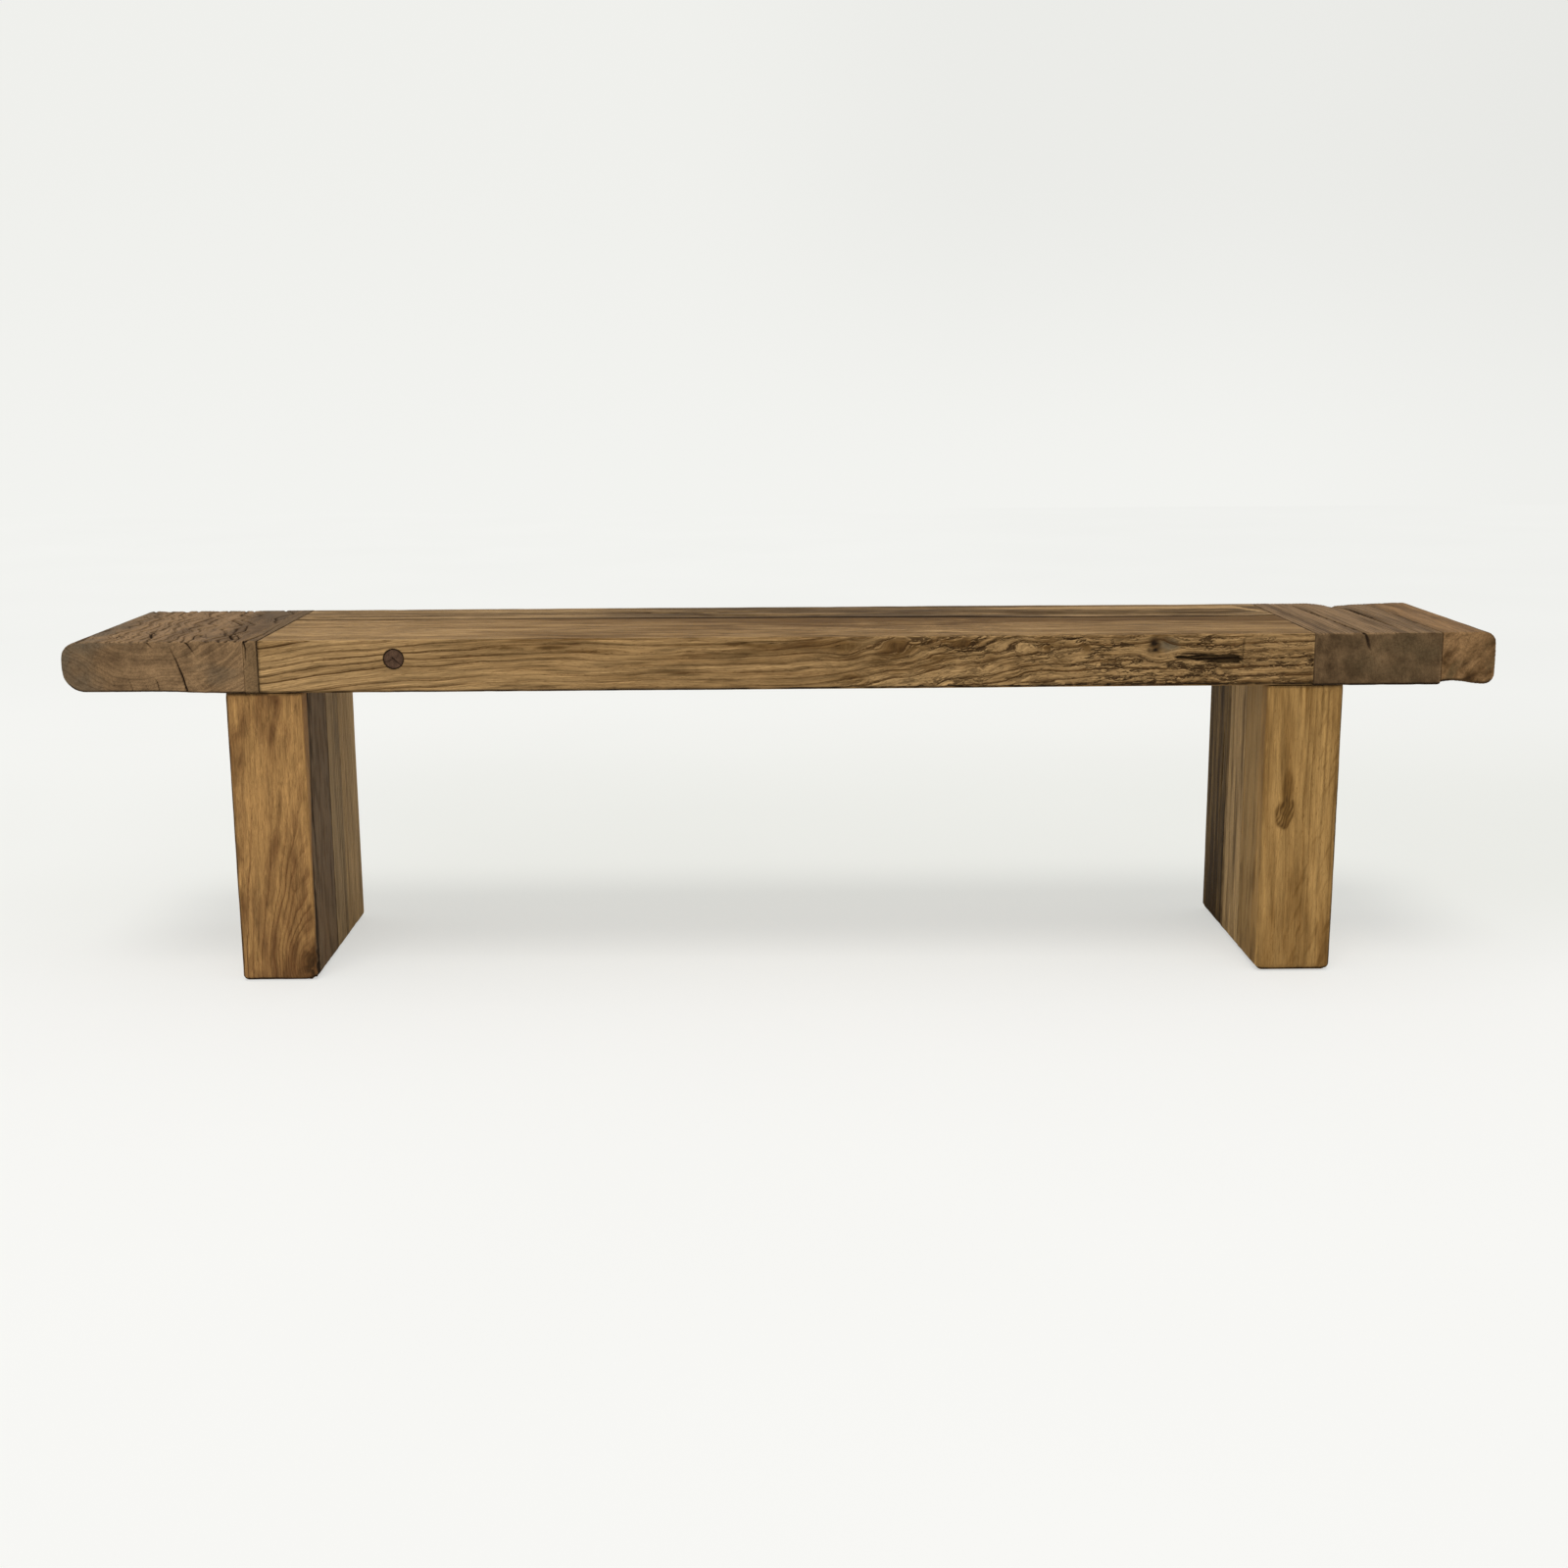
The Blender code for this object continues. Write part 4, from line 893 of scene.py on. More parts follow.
def rear_beam():
    """The long rear timber: darker in its middle, with a worn scoop along its seam at the right, whose
    furrow is painted darker as shade and whose rim is lighter, worn and painted as a highlight.
    """
    node = "rear_beam"
    low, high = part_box(node)
    xs = edged(low.x, high.x, 0.0052, 0.0012, 0.01)
    ys = edged(low.y, high.y, 0.0022, 0.0007, 0.01)
    zs = edged(low.z, high.z, 0.0024)
    seam = [
        (low.x, 0.0035), (-0.35, 0.004), (0.05, 0.006), (0.3, 0.0065), (0.4, 0.0085), (0.6, 0.0085),
        (high.x, 0.003)
    ]
    timber = Timber(node, X, (xs, ys, zs), (JOINT, 0.006, 0.006, seam), BEAM_ENDS)
    timber.reshape(Y, lambda p: (high.y - p[:, Y]) / (high.y - low.y) * (seam_line(p[:, X]) - low.y))
    x, y, _ = timber.points.T
    drift = [(-0.67, -0.012), (-0.2, 0.004), (0.2, 0.0), (0.69, 0.012)]
    eyes = [
        ((-0.36, high.y, 0.43), (0.05, 0.03, 0.006), 0.006),
        ((0.22, high.y, 0.42), (0.04, 0.03, 0.009), 0.009),
    ]
    timber.grow((-0.2, 0.05), 0.006, drift, 0.0032, (0.15, 0.05), eyes, 5)
    timber.groove(0.0006, 0.12)
    top = timber.side(TOP)
    from_seam = y - seam_line(x)
    along = ramp(0.24, 0.36, x) * (1 - ramp(0.61, 0.672, x))
    worn_down = along * (1 - ramp(0.03, 0.085, from_seam)) * top
    timber.sunk += 0.003 * worn_down
    timber.open_splits()
    timber.weather(0.0008, 2)
    waver = 0.006 * timber.clouds((0.12, 0.05, 0.05), 38) + 0.06 * ramp(0.64, 0.684, x)
    # The scoop's far rim, lighter: wear and a painted highlight. Its furrow, darker: painted shade
    rim_along = ramp(0.24, 0.36, x) * (1 - ramp(0.668, 0.68, x))
    rim = rim_along * hump(((from_seam - 0.098 + waver) / 0.013) ** 2) * top
    furrow = along * hump((from_seam - 0.055 + waver) / 0.01) * top
    timber.open_splits("seam_of_rear_beam")
    lip = hump((from_seam - 0.013) / 0.007) * top * (1 - ramp(-0.38, -0.22, x))
    lip *= 0.75 + 0.5 * timber.clouds((0.07, 0.05, 0.05), 54)
    timber.rub(np.maximum(rim, 0.9 * lip))
    timber.darken(0.36 * furrow)
    middle = ramp(-0.36, -0.14, x)
    timber.tone = (
        0.24 + 0.5 * middle - 0.3 * ramp(0.2, 0.45, x) + 0.2 * worn_down
        + 0.62 * timber.clouds((0.18, 0.016, 0.03), 24) - 1.3 * rim + 0.45 * furrow - 0.6 * lip
    )
    streaked = ramp(0.1, 0.7, timber.clouds((0.2, 0.025, 0.05), 25) + 0.35)
    timber.stain = 0.6 * middle * (1 - 0.7 * ramp(0.2, 0.45, x)) * top * streaked * (1 - rim)
    timber.bold = 0.8 - 0.5 * rim
    timber.dirt_and_shade([(BACK, TOP)], 0.01, 0.6)
    # Darker along the lower back arris: painted shade under the beam
    timber.dirt_and_shade([(BACK, UNDER)], 0.004, 0.6)
    seam_dirt(timber)
    timber.finish(oak("brown_beam_oak"), "brown_oak", (RIGHT, LEFT, FRONT))


def left_block():
    """The wide left timber: a bullnose, wandering splits along its top and arcs on its end grain."""
    node = "left_end_block"
    low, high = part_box(node)
    ends = (0.0045, JOINT, 0.0045, 0.003)
    timber = crosswise(node, (0.00118, 0.0034, 0.0011), (0.03, JOINT, JOINT, 0.024), ends)

    def rise(points):
        """The underside rises to the left, by a lift that fades to nothing at the top."""
        share = 1 - ramp(low.x + 0.1, high.x - 0.02, points[:, X])
        return LEFT_RISE * share * (high.z - points[:, Z]) / (high.z - low.z)

    timber.reshape(Z, rise)
    p = timber.points
    x, y, _ = p.T
    timber.grow((-0.8, 0.58), 0.005, None, 0.009, (0.085, 0.06), (), 8)
    top, front = timber.side(TOP), timber.side(FRONT)
    ends_shown = front + timber.side(BACK)
    wander = 0.015 * noise(p, (0.07, 0.04, 0.06), 61) + 0.0034 * noise(p, (0.022, 0.016, 0.03), 62)
    wander += 0.11 * y
    knot = timber.bell((-0.757, -0.105, high.z), (0.012, 0.04, 0.03))
    lines_over = (x + wander) / LEFT_LINE_SPACING + 1.7 * knot + 0.5 * noise(p, (0.07, 0.1, 0.07), 63)
    number = np.round(lines_over)
    own = chance(number)
    from_line = np.abs(lines_over - number) * LEFT_LINE_SPACING
    open_part = ramp(-0.25, 0.22, noise(p, (0.016, 0.04, 0.05), 64) + 0.5 * own - 0.05)
    wide = 0.0008 + 0.0022 * own
    cut = np.clip(1 - (from_line / wide) ** 1.5, 0, 1) * open_part * ramp(0.25, 0.6, own)
    strength = 0.65 + 0.35 * ramp(-0.82, -0.7, x)
    # The open lines are darkened: painted shade in them
    timber.carve(0.0024 * cut * top * strength, 0.8 * np.clip(1.3 * cut, 0, 1) * top * strength)
    timber.rings = np.where(top > 0.5, lines_over * 3 + 0.5, timber.rings)
    timber.bold = 0.4 * ends_shown + 0.74 * top * (0.1 + 0.9 * open_part)
    timber.groove(0.0004, 0.15, top)
    width, depth = high.x - low.x, high.y - low.y
    for seed, route in enumerate(LEFT_TOP_SPLITS):
        scaled = [
            (low.x + a * width, low.y + b * depth, c * LEFT_SPLIT_WIDTH, c * LEFT_SPLIT_DEPTH)
            for a, b, c in route
        ]
        timber.split(TOP, scaled, 0.0012, seed)
    timber.open_splits()
    timber.weather(0.0009, 3, 0.01)
    nose = 1 - ramp(-0.905, -0.855, x + 0.02 * timber.clouds((0.04, 0.04, 0.03), 65))
    to_seam = ramp(-0.77, -0.7, x) * top
    eased = ramp(0.3, 0.6, -timber.normals[:, Y]) * ramp(0.3, 0.6, timber.normals[:, Z])
    timber.rub(eased * (0.45 + 0.4 * timber.clouds((0.03, 0.03, 0.03), 58)))
    scratches = ramp(0.05, 0.45, slanted(p, 0.6, (0.04, 0.05, 0.0045), 31)) * ramp(-0.8, -0.74, x)
    timber.tone = (
        0.22 + 0.1 * nose + 0.5 * to_seam + 0.32 * ends_shown - 0.45 * front * scratches
        + 0.28 * ends_shown * timber.bands(1.3, 67) + 0.25 * top * timber.bands(2.5, 68)
        + 0.3 * top * hump((x + 0.782) / 0.025) - 0.14 * top * hump((x + 0.83) / 0.03)
        + 0.26 * timber.clouds((0.05, 0.07, 0.03), 26) + 0.35 * ramp(0.8, 0.99, -timber.normals[:, X])
        - 0.3 * front * timber.bell((-0.8, low.y, 0.405), (0.05, 0.03, 0.022))
    )
    timber.stain = (
        0.75 * nose + 0.45 * to_seam * ramp(-0.1, 0.15, y)
        + 0.45 * ends_shown * ramp(0, 0.7, timber.clouds((0.07, 0.07, 0.03), 27))
    )
    # Darker along the lower arrises: painted shade under the block
    timber.dirt_and_shade([(FRONT, UNDER), (LEFT, UNDER), (BACK, UNDER)], 0.0048, 0.85)
    timber.dirt_and_shade([(BACK, TOP)], 0.01, 0.6)
    timber.finish(oak("brown_block_oak"), "brown_oak", (RIGHT,))


def left_slip():
    """The narrow strip between the left block and the beams: plain, flat and brown."""
    ends = (0.0006, 0.0009, 0.004, 0.003)
    timber = crosswise("left_end_slip", (0.0011, 0.0034, 0.0016), (JOINT,) * 4, ends)
    y = timber.points[:, Y]
    timber.grow((-0.8, 0.58), 0.005, None, 0.006, (0.085, 0.06), (), 8)
    top = timber.side(TOP)
    timber.open_splits()
    timber.weather(0.0006, 4)
    timber.tone = 0.25 + 0.3 * top + 0.25 * timber.clouds((0.02, 0.08, 0.03), 28)
    timber.stain = 0.45 * top * ramp(-0.15, 0.0, y) + 0.25 * timber.side(FRONT)
    timber.bold = 0.35 + 0.3 * top
    # Darker along the lower front arris: painted shade under the slip
    timber.dirt_and_shade([(FRONT, UNDER)], 0.0045, 0.6)
    timber.dirt_and_shade([(RIGHT, FRONT), (RIGHT, TOP)], 0.0022, 0.75)
    timber.finish(oak("slip_oak"), "grey_oak", (RIGHT, LEFT))


def rear_notch(points, low, high):
    """The dip worn into the rear edge at the right, over both timbers: its depth by place, fading
    forwards and down."""
    dip = np.interp(points[:, X], *zip(*NOTCH_DEPTHS))
    back = ramp(high.y - 0.08, high.y - 0.004, points[:, Y])
    return -dip * back * ramp(low.z, high.z, points[:, Z])


def right_inner_block():
    """The dark inner timber at the right: fine straight lines and two long splits along its top."""
    node = "right_inner_block"
    low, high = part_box(node)
    ends = (0.0009, 0.0006, 0.0042, 0.003)
    timber = crosswise(node, (0.0012, 0.0034, 0.0017), (JOINT, 0.003, JOINT, JOINT), ends)
    timber.reshape(Z, lambda p: rear_notch(p, low, high))
    timber.grow((0.45, 0.36), 0.0048, None, 0.0025, (0.35, 0.04), (), 13)
    top = timber.side(TOP)
    shown_ends = timber.side(FRONT) + timber.side(BACK)
    timber.groove(0.0004, 0.14, top)
    timber.open_splits()
    timber.weather(0.0008, 5)
    patch = timber.clouds((0.06, 0.2, 0.05), 29)
    light_patch = timber.bell((0.753, low.y, 0.425), (0.018, 0.05, 0.02))
    x = timber.points[:, X]
    on_ends = 0.78 + 0.16 * patch - 0.44 * light_patch + 0.08 * ramp(0.775, 0.8, x)
    timber.tone = (
        0.17 * (1 - shown_ends)
        + shown_ends * 0.09 * (1 - ramp(0.7, 0.72, x))
        + shown_ends * on_ends
        + 0.62 * top * timber.clouds((0.012, 0.18, 0.03), 30)
    )
    timber.stain = shown_ends * 0.5 * ramp(-0.5, 0.8, timber.clouds((0.07, 0.2, 0.05), 35))
    timber.bold = 0.75 * top + 0.2 * shown_ends
    # Darker along the lower arrises: painted shade under the block
    timber.dirt_and_shade([(FRONT, UNDER), (BACK, UNDER)], 0.005, 0.9)
    timber.dirt_and_shade([(BACK, TOP)], 0.01, 0.6)
    timber.dirt_and_shade([(LEFT, FRONT), (LEFT, TOP)], 0.0025, 0.7)
    timber.finish(oak("dark_block_oak"), "dark_oak", (RIGHT, LEFT))


def right_outer_block():
    """The outer timber at the right: a hollow worn under it and a swirl on its end grain."""
    node = "right_outer_block"
    low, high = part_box(node)
    ends = (0.0006, 0.0045, 0.0045, 0.0036)
    timber = crosswise(node, (0.0011, 0.0034, 0.0016), (JOINT, 0.014, 0.016, JOINT), ends)

    def worn_under(points):
        """The underside rises by the hollow's lift, which fades to nothing at the top."""
        share = (points[:, X] - low.x) / (high.x - low.x)
        lift = np.interp(share, *zip(*OUTER_HOLLOW))
        return lift * (high.z - points[:, Z]) / (high.z - low.z)

    timber.reshape(Z, worn_under)
    timber.reshape(Z, lambda p: rear_notch(p, low, high))
    timber.grow((0.908, 0.384), 0.005, None, 0.005, (0.2, 0.022), (), 17)
    timber.groove(0.0004, 0.15)
    timber.open_splits()
    timber.weather(0.0009, 6, 0.01)
    shown_ends = timber.side(FRONT) + timber.side(BACK)
    timber.tone = (
        0.22 + 0.26 * shown_ends + 0.2 * timber.clouds((0.022, 0.2, 0.022), 36)
        + 0.45 * shown_ends * slanted(timber.points, 0.8, (0.045, 0.2, 0.009), 36)
        + 0.2 * shown_ends * timber.bands(1.8, 69)
        + 0.6 * shown_ends * timber.bell((0.88, low.y, 0.386), (0.01, 0.05, 0.008))
        - 0.3 * shown_ends * timber.bell((0.862, low.y, 0.428), (0.014, 0.05, 0.014))
        - 0.12 * ramp(0.893, 0.905, timber.points[:, X])
    )
    timber.bold = 0.35 * (1 - 0.3 * shown_ends)
    timber.tone += 0.35 * ramp(0.8, 0.99, timber.normals[:, X])
    timber.stain = 0.6 * shown_ends * ramp(0.0, 0.7, slanted(timber.points, 0.9, (0.05, 0.2, 0.014), 39))
    # Darker along the lower arrises: painted shade under the block
    timber.dirt_and_shade([(FRONT, UNDER), (RIGHT, UNDER), (BACK, UNDER)], 0.006, 0.9)
    timber.dirt_and_shade([(BACK, TOP)], 0.01, 0.6)
    timber.dirt_and_shade([(LEFT, FRONT), (LEFT, TOP)], 0.0018, 0.6)
    timber.finish(oak("outer_block_oak"), "brown_oak", (LEFT,))


def post(node, shown, foot):
    """One upright post of a leg, from the floor to the seat. shown says whether its front and its
    back are seen. Its seams stay crisp, and its open edges are eased at the foot."""
    low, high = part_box(node)
    shown_front, shown_back = shown
    side_step = 0.0012 if shown_front else 0.003
    up_step = 0.0026 if shown_front else 0.0034
    zs = lines(
        low.z, high.z, (low.z, 0.0012), (0.014, 0.0024), (0.05, up_step), (high.z - 0.008, up_step),
        (high.z, 0.0014)
    )
    grids = (edged(low.x, high.x, side_step), edged(low.y, high.y, 0.0021), zs)
    front = LEG_ARRIS if shown_front else JOINT
    back = LEG_ARRIS if shown_back else JOINT
    at_foot = (foot, foot, foot if shown_front else JOINT, foot if shown_back else JOINT)
    return Timber(node, Z, grids, (front, front, back, back), (at_foot, (JOINT,) * 4))


def plain_post(node, foot, pith, spacing, seed):
    """A middle or rear post: straight rings, with shallow grooves and wear."""
    timber = post(node, (False, "rear" in node), foot)
    timber.grow(pith, spacing, None, 0.003, (0.5, 0.04), (), seed)
    timber.groove(0.0004, 0.14)
    timber.weather(0.0006, seed)
    # Darker round the foot, a painted contact shadow, and at the top, painted shade under the seat
    timber.dirt_and_shade([(UNDER, LEFT), (UNDER, RIGHT), (UNDER, BACK)], 0.003, 0.7)
    timber.dirt_and_shade([(TOP, LEFT), (TOP, RIGHT)], 0.004, 0.35)
    return timber


def left_front_post():
    """The golden post at the left: arches round a corner knot, and a dark strip on its inner face."""
    timber = post("left_leg_front_post", (True, False), LEFT_FOOT)
    p = timber.points
    x, y, z = p.T
    low, high = timber.low, timber.high
    front, inner = timber.side(FRONT), timber.side(RIGHT)
    knot = np.array((high[0] - 0.001, low[1], 0.02))
    off = p - knot
    stretch = 1.15 + 13 * np.linalg.norm(off, axis=1)
    reach = np.linalg.norm(off / np.stack((1 + 0 * stretch, 1.5 + 0 * stretch, stretch), 1), axis=1)
    waver = 0.002 * timber.clouds((0.03, 0.05, 0.09), 71) + 0.0008 * noise(p, (0.01, 0.02, 0.03), 72)
    timber.rings = 15.5 * np.log(1 + (reach + waver) / 0.022)
    low_down = 1 - ramp(0.14, 0.26, z)
    timber.bold = (0.2 + 0.48 * low_down) * (1 - 0.6 * inner)
    timber.groove(0.0005, 0.16, front * low_down)
    leaning = p + np.outer(z, (-0.22, 0, 0))
    flames = clouds(leaning, (0.017, 0.04, 0.1), 73)
    licks = clouds(p + np.outer(z, (0.3, 0, 0)), (0.014, 0.04, 0.06), 76)
    timber.bend = 0.006 * flames
    crown = ramp(0.275, 0.325, z - 0.45 * (x - low[0]) + 0.016 * licks)
    core = timber.bell(knot - (0, 0, 0.003), (0.019, 0.022, 0.031), 1.6)
    ring_knot = timber.bell(knot, (0.034, 0.025, 0.036), 1.3)
    pitted = 0.5 + 0.5 * noise(p, (0.006, 0.008, 0.008), 75)
    corner = hump((x - high[0] + 0.0048) / 0.0024) * ramp(0.08, 0.16, z)
    corner *= 0.75 + 0.5 * noise(p, (0.02, 0.02, 0.05), 79)
    timber.tone = (
        0.28 + (0.46 * flames + 0.26 * licks) * front + 0.22 * low_down + 0.55 * ring_knot
        + 0.5 * front * timber.bands(1.3, 66) - 0.06 * corner
        + 0.3 * crown * (0.5 + 1.1 * timber.clouds((0.013, 0.03, 0.03), 77))
    )
    wrap = low[1] + 0.004 + 0.022 * ramp(0.06, 0.36, z) + 0.002 * noise(p, (0.02, 0.02, 0.05), 74)
    shade = 1.2 + 0.3 * timber.clouds((0.02, 0.01, 0.12), 78)
    timber.stain = inner * ramp(-0.003, 0.006, y - wrap) * shade
    timber.carve(0.0022 * core * ramp(0.35, 0.65, pitted), core * (0.2 + 0.44 * ramp(0.28, 0.5, pitted)))
    timber.weather(0.0007, 7)
    timber.worn *= 1 - ring_knot
    timber.rub(0.12 * corner)
    strip = np.clip(timber.stain, 0, 1)
    dark_bands = ramp(-0.25, 0.4, timber.clouds((0.02, 0.0075, 0.22), 59))
    dark_bands *= 1 - ramp(wrap + 0.02, wrap + 0.04, y)
    streaks = ramp(-0.35, 0.45, timber.clouds((0.02, 0.011, 0.055), 58))
    behind = ramp(wrap, wrap + 0.03, y)
    soot = strip * np.clip(0.18 - 0.38 * behind + 0.22 * dark_bands + 0.58 * streaks, 0, 1)
    timber.darken(soot)
    # Darker round the foot: a painted contact shadow
    timber.dirt_and_shade([(UNDER, FRONT), (UNDER, LEFT), (UNDER, RIGHT)], 0.0052, 0.95)
    timber.dirt_and_shade([(BACK, RIGHT)], 0.0022, 0.6)
    timber.dirt_and_shade([(LEFT, FRONT)], 0.0034, 0.8)
    # Darker at the top: painted shade under the seat
    timber.dirt_and_shade([(TOP, FRONT), (TOP, RIGHT), (TOP, LEFT)], 0.0042, 0.6)
    timber.finish(oak("golden_oak_left"), "golden_oak", (BACK, TOP))


def left_middle_post():
    """The grey brown post behind it."""
    timber = plain_post("left_leg_middle_post", LEFT_FOOT, (-0.35, 0.2), 0.0058, 81)
    timber.tone = 0.25 + 0.45 * timber.clouds((0.02, 0.012, 0.25), 82) + 0.3 * (timber.points[:, Y] > 0.03)
    timber.stain = 0.2 * ramp(-0.2, 0.7, timber.clouds((0.02, 0.012, 0.3), 83))
    timber.dirt_and_shade([(FRONT, RIGHT), (FRONT, LEFT)], 0.004, 0.7)
    timber.finish(oak("grey_oak_left"), "grey_oak", (FRONT, BACK, TOP))


def left_rear_post():
    """The brown post at the back of the left leg."""
    timber = plain_post("left_leg_rear_post", LEFT_FOOT, (-0.4, 0.3), 0.0062, 84)
    timber.tone = 0.15 + 0.4 * timber.clouds((0.03, 0.016, 0.25), 85)
    timber.dirt_and_shade([(BACK, RIGHT), (BACK, LEFT)], 0.004, 0.65)
    timber.finish(oak("brown_oak_left"), "brown_oak", (FRONT, TOP))


def right_front_post():
    """The golden post at the right: fine straight lines, which part round a long knot."""
    timber = post("right_leg_front_post", (True, False), RIGHT_FOOT)
    p = timber.points
    x, y, z = p.T
    low = timber.low
    knot = np.array((0.6545, low[1], 0.215))
    timber.grow((0.3, -0.4), 0.0062, None, 0.003, (0.2, 0.03), (), 91)
    off = p - knot
    part = timber.bell(knot, (0.022, 0.03, 0.055))
    parting = np.tanh(off[:, X] / 0.006) * part
    timber.rings += 1.3 * parting
    front = timber.side(FRONT)
    straight_part = ramp(0.655, 0.685, x + 0.008 * timber.clouds((0.03, 0.03, 0.1), 99))
    timber.bold = (0.12 + 0.48 * straight_part) * (0.7 + 0.3 * ramp(0.12, 0.24, z)) + 0.4 * part
    timber.groove(0.0003, 0.14, front * straight_part)
    slant = off - np.outer(off[:, Z], (0.18, 0, 0))
    reach = np.linalg.norm(slant / (0.0125, 0.012, 0.02), axis=1)
    reach += 0.22 * noise(p, (0.009, 0.01, 0.014), 97)
    core = 1 - ramp(0.7, 1.1, reach)
    rim = hump((reach - 0.92) / 0.18) * ramp(-0.1, 0.8, -off[:, X] / 0.0125 - 0.6 * off[:, Z] / 0.02)
    tail_off = off - np.outer(off[:, Z], (0.05, 0, 0)) - (0.0005, 0, 0.031)
    tail = hump(np.linalg.norm(tail_off / (0.007, 0.012, 0.022), axis=1) ** 1.6)
    across = off[:, X] - 0.33 * np.minimum(off[:, Z], 0.01) - 0.05 * np.maximum(off[:, Z] - 0.01, 0)
    across += 0.0022 * noise(p, (0.008, 0.01, 0.014), 94)
    hatch = 0.5 + 0.5 * np.sin(across * 2 * math.pi / HATCH_SPACING)
    sway = 0.0014 * noise(p, (0.02, 0.02, 0.04), 95)
    dark_lines = hump((x - 0.6745 - sway) / 0.002) * ramp(0.27, 0.36, z)
    dark_lines += hump((x - 0.668 - 2 * sway) / 0.0014) * ramp(0.31, 0.37, z)
    leaning = p + np.outer(z, (0.12, 0, 0))
    timber.tone = (
        0.24 + 0.34 * clouds(leaning, (0.016, 0.04, 0.11), 92) + 0.7 * dark_lines
        + 0.12 * timber.bands(1.6, 70) + 0.25 * (1 - ramp(0.03, 0.16, z))
        + 0.35 * straight_part * ramp(0.25, 0.6, slanted(p, 1.2, (0.05, 0.05, 0.006), 62))
        - 0.3 * timber.bell((0.684, low[1], 0.212), (0.014, 0.03, 0.04))
        + 0.9 * np.maximum(core * (0.5 + 0.55 * hatch), tail * (0.75 + 0.45 * hatch)) + 0.55 * rim
    )
    timber.hollow = (0.4 * core + 0.36 * tail) * ramp(0.3, 0.8, hatch) + 0.24 * rim
    inner = timber.side(LEFT)
    golden_to = low[1] + 0.03 + 0.008 * noise(p, (0.03, 0.03, 0.09), 93)
    shade = 0.8 + 0.5 * timber.clouds((0.02, 0.01, 0.2), 96)
    stroke = hump((y + 0.12 + 0.002 * noise(p, (0.02, 0.02, 0.04), 57)) / 0.0035) * inner
    stroke *= ramp(0.09, 0.12, z) * (1 - ramp(0.3, 0.34, z))
    stroke *= ramp(-1.0, 0.0, noise(p, (0.1, 0.1, 0.06), 56))
    streaks = ramp(-0.35, 0.45, timber.clouds((0.02, 0.01, 0.06), 55)) * inner
    streaks *= 0.1 + 0.26 * (1 - ramp(0.1, 0.33, z))
    timber.darken(np.maximum(0.45 * stroke, streaks))
    timber.stain = inner * ramp(-0.003, 0.01, y - golden_to) * shade
    timber.weather(0.0007, 8)
    # Darker round the foot: a painted contact shadow
    timber.dirt_and_shade([(UNDER, FRONT), (UNDER, LEFT), (UNDER, RIGHT)], 0.0056, 0.95)
    timber.dirt_and_shade([(RIGHT, FRONT)], 0.0034, 0.75)
    # Darker at the top: painted shade under the seat
    timber.dirt_and_shade([(TOP, FRONT), (TOP, LEFT), (TOP, RIGHT)], 0.0042, 0.55)
    timber.finish(oak("golden_oak_right"), "golden_oak", (BACK, TOP))


def right_middle_post():
    """The brown post behind it."""
    timber = plain_post("right_leg_middle_post", RIGHT_FOOT, (0.3, 0.2), 0.0058, 95)
    timber.bold *= 0.45
    timber.tone = 0.08 + 1.1 * timber.clouds((0.02, 0.018, 0.24), 96)
    timber.tone -= 0.2 * ramp(0.1, 0.3, timber.points[:, Z])
    timber.dirt_and_shade([(FRONT, LEFT), (FRONT, RIGHT)], 0.003, 0.6)
    timber.dirt_and_shade([(BACK, LEFT)], 0.02, 0.65)
    timber.finish(oak("brown_oak_right"), "grey_oak", (FRONT, BACK, TOP))


def right_rear_post():
    """The dark post at the back of the right leg."""
    timber = plain_post("right_leg_rear_post", RIGHT_FOOT, (0.35, 0.3), 0.0062, 97)
    timber.open_splits()
    timber.tone = 0.4 + 0.6 * timber.clouds((0.03, 0.014, 0.25), 98)
    timber.tone += 0.4 * (1 - ramp(0.08, 0.32, timber.points[:, Z]))
    timber.dirt_and_shade([(BACK, LEFT), (BACK, RIGHT)], 0.004, 0.65)
    timber.finish(oak("dark_oak_right"), "dark_oak", (FRONT, TOP))


